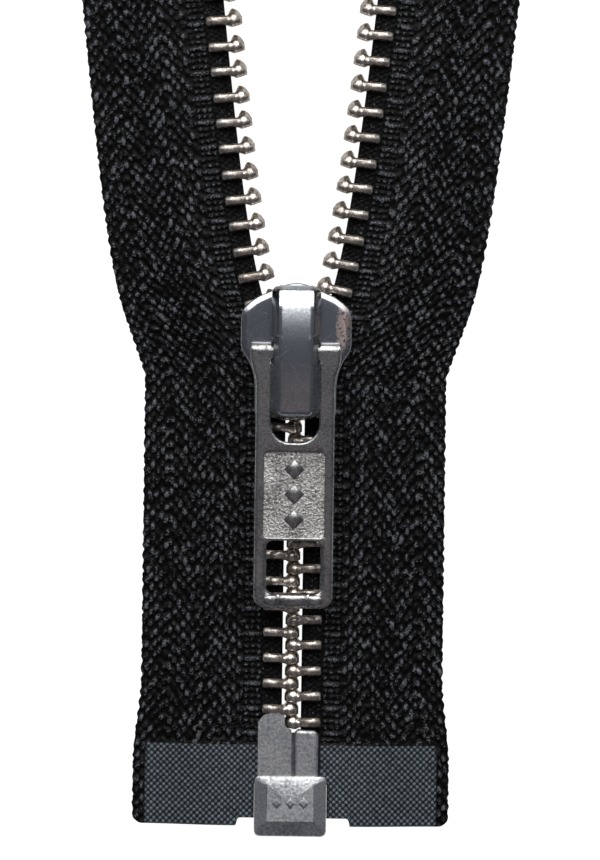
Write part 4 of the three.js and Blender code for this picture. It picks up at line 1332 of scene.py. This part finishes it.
@dataclass
class Studio:
    """A pale table under soft light, seen from straight above."""

    view: tuple[float, float] = (60.0, 86.0)  # mm across and up the frame, at the chain
    centre: tuple[float, float] = (0.5, 40.6)
    roll: float = math.radians(0.75)
    distance: float = 620.0
    mirrored_white: float = 0.35  # how much of the table's white the metal shows
    middle: Vector = field(default_factory=lambda: Vector((0, 0, CHAIN_Z * MM)))

    def camera(self) -> None:
        """Hangs a long lens over the chain: its focal length is sensor height times distance over view."""
        data = bpy.data.cameras.new("overhead")
        data.sensor_fit = "VERTICAL"
        data.sensor_height = 24
        data.lens = data.sensor_height * self.distance / self.view[1]
        data.clip_start = 0.01
        camera = bpy.data.objects.new("overhead", data)
        x, y = self.centre
        camera.location = (x * MM, (y + ORIGIN_Y) * MM, (CHAIN_Z + self.distance) * MM)
        camera.rotation_euler = (0, 0, self.roll)
        bpy.context.scene.collection.objects.link(camera)
        bpy.context.scene.camera = camera

    def floor(self) -> None:
        """Lays the table: dull in the light, with its white given only to the rays that see it."""
        mesh = bpy.data.meshes.new("table")
        size, below = 1.5, -0.02 * MM  # a hair under the slider's flat underside
        corners = [(-size, -size, below), (size, -size, below), (size, size, below), (-size, size, below)]
        mesh.from_pydata(corners, [], [(0, 1, 2, 3)])
        table = bpy.data.objects.new("table", mesh)
        bpy.context.scene.collection.objects.link(table)
        material, tree, shader = blank_material("white_card")
        shader.inputs["Base Color"].default_value = to_linear("#9c9c9c")
        shader.inputs["Roughness"].default_value = 0.9
        shader.inputs["Specular IOR Level"].default_value = 0.0
        shader.inputs["Emission Color"].default_value = to_linear("#ffffff")
        path = add_node(tree, "ShaderNodeLightPath")
        mirrored = add_node(tree, "ShaderNodeMath", {"operation": "MAXIMUM"},
                            {0: path.outputs["Is Glossy Ray"], 1: path.outputs["Is Transmission Ray"]})
        seen = add_node(tree, "ShaderNodeMath", {"operation": "MULTIPLY_ADD", "use_clamp": True},
                        {0: mirrored.outputs[0], 1: self.mirrored_white, 2: path.outputs["Is Camera Ray"]})
        tree.links.new(seen.outputs[0], shader.inputs["Emission Strength"])
        mesh.materials.append(material)

    def sky(self) -> None:
        """Rings the set with light that dims to a dark opening overhead, where the lens looks through."""
        world = bpy.data.worlds.new("studio")
        bpy.context.scene.world = world
        world.use_nodes = True
        tree = world.node_tree
        tree.nodes.clear()
        where = add_node(tree, "ShaderNodeTexCoord")
        parts = add_node(tree, "ShaderNodeSeparateXYZ", inputs={0: where.outputs["Generated"]})
        leaning = add_node(tree, "ShaderNodeMath", {"operation": "MULTIPLY_ADD"},
                           {0: parts.outputs["Y"], 1: -0.25, 2: parts.outputs["Z"]})
        share = add_node(tree, "ShaderNodeMapRange", inputs={
            "Value": leaning.outputs[0], "From Min": -0.25, "From Max": 1.0})
        ramp = add_node(tree, "ShaderNodeValToRGB", inputs={"Fac": share.outputs[0]})
        set_ramp(ramp, [(0.0, to_linear("#a2a2a0")), (0.2, to_linear("#5c5e62")), (0.5, to_linear("#4c4d52")),
                        (1.0, to_linear("#484c54"))])
        light = add_node(tree, "ShaderNodeBackground", inputs={
            "Color": ramp.outputs["Color"], "Strength": 1.0})
        add_node(tree, "ShaderNodeOutputWorld", inputs={"Surface": light.outputs[0]})

    def softbox(self, name: str, place_at: tuple[float, float, float], size: tuple[float, float],
                radiance: float, colour: str = "#ffffff") -> None:
        """Hangs a rectangular light facing the chain.

        Args:
            name: of the light.
            place_at: where it hangs, in mm from the middle of the zipper.
            size: its width and height in mm.
            radiance: how bright its face looks, where 1 is white. Its power is pi times area times this.
            colour: of its light.
        """
        data = bpy.data.lights.new(name, "AREA")
        data.shape = "RECTANGLE"
        data.size, data.size_y = size[0] * MM, size[1] * MM
        data.energy = math.pi * data.size * data.size_y * radiance
        data.color = to_linear(colour)[:3]
        lamp = bpy.data.objects.new(name, data)
        lamp.location = Vector(place_at) * MM
        lamp.rotation_euler = (self.middle - lamp.location).to_track_quat("-Z", "Y").to_euler()
        bpy.context.scene.collection.objects.link(lamp)

    def build(self) -> None:
        """Sets up the camera, the table, the sky and the lights."""
        self.camera()
        self.floor()
        self.sky()
        self.softbox("back_bank", (0, 430, 350), (760, 360), 3.0)
        self.softbox("top_bank", (0, 190, 430), (300, 150), 2.0)
        self.softbox("warm_card", (0, -195, 430), (400, 330), 0.09, "#ffd8c0")
        self.softbox("left_bank", (-400, 300, 260), (200, 300), 1.0)
        self.softbox("right_bank", (420, 260, 260), (160, 300), 0.8)
        scene = bpy.context.scene
        scene.view_settings.view_transform = "Standard"


def main() -> None:
    """Builds the zipper and its studio."""
    logging.basicConfig(level=logging.INFO, format="%(message)s")
    Studio().build()
    cloth = WovenPolyester().material()
    film = EmbossedFilm().material()
    tooth = TOOTH_METAL.material()
    polished = POLISHED_NICKEL.material()
    satin = SATIN_NICKEL.material()
    blasted = BLASTED_NICKEL.material()
    for side in Side:
        Tape(side, cloth, film).build()
        ToothRow(side, tooth).build()
    Slider(polished).build()
    Crown(polished).build()
    PullTab(satin, blasted).build()
    Retainer(BRUSHED_NICKEL.material()).build()
    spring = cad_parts["lock_spring"]
    spring.data.materials.clear()
    spring.data.materials.append(SPRING_STEEL.material())
    log.info("lock_spring keeps its CAD shape")


if __name__ == "__main__":
    main()
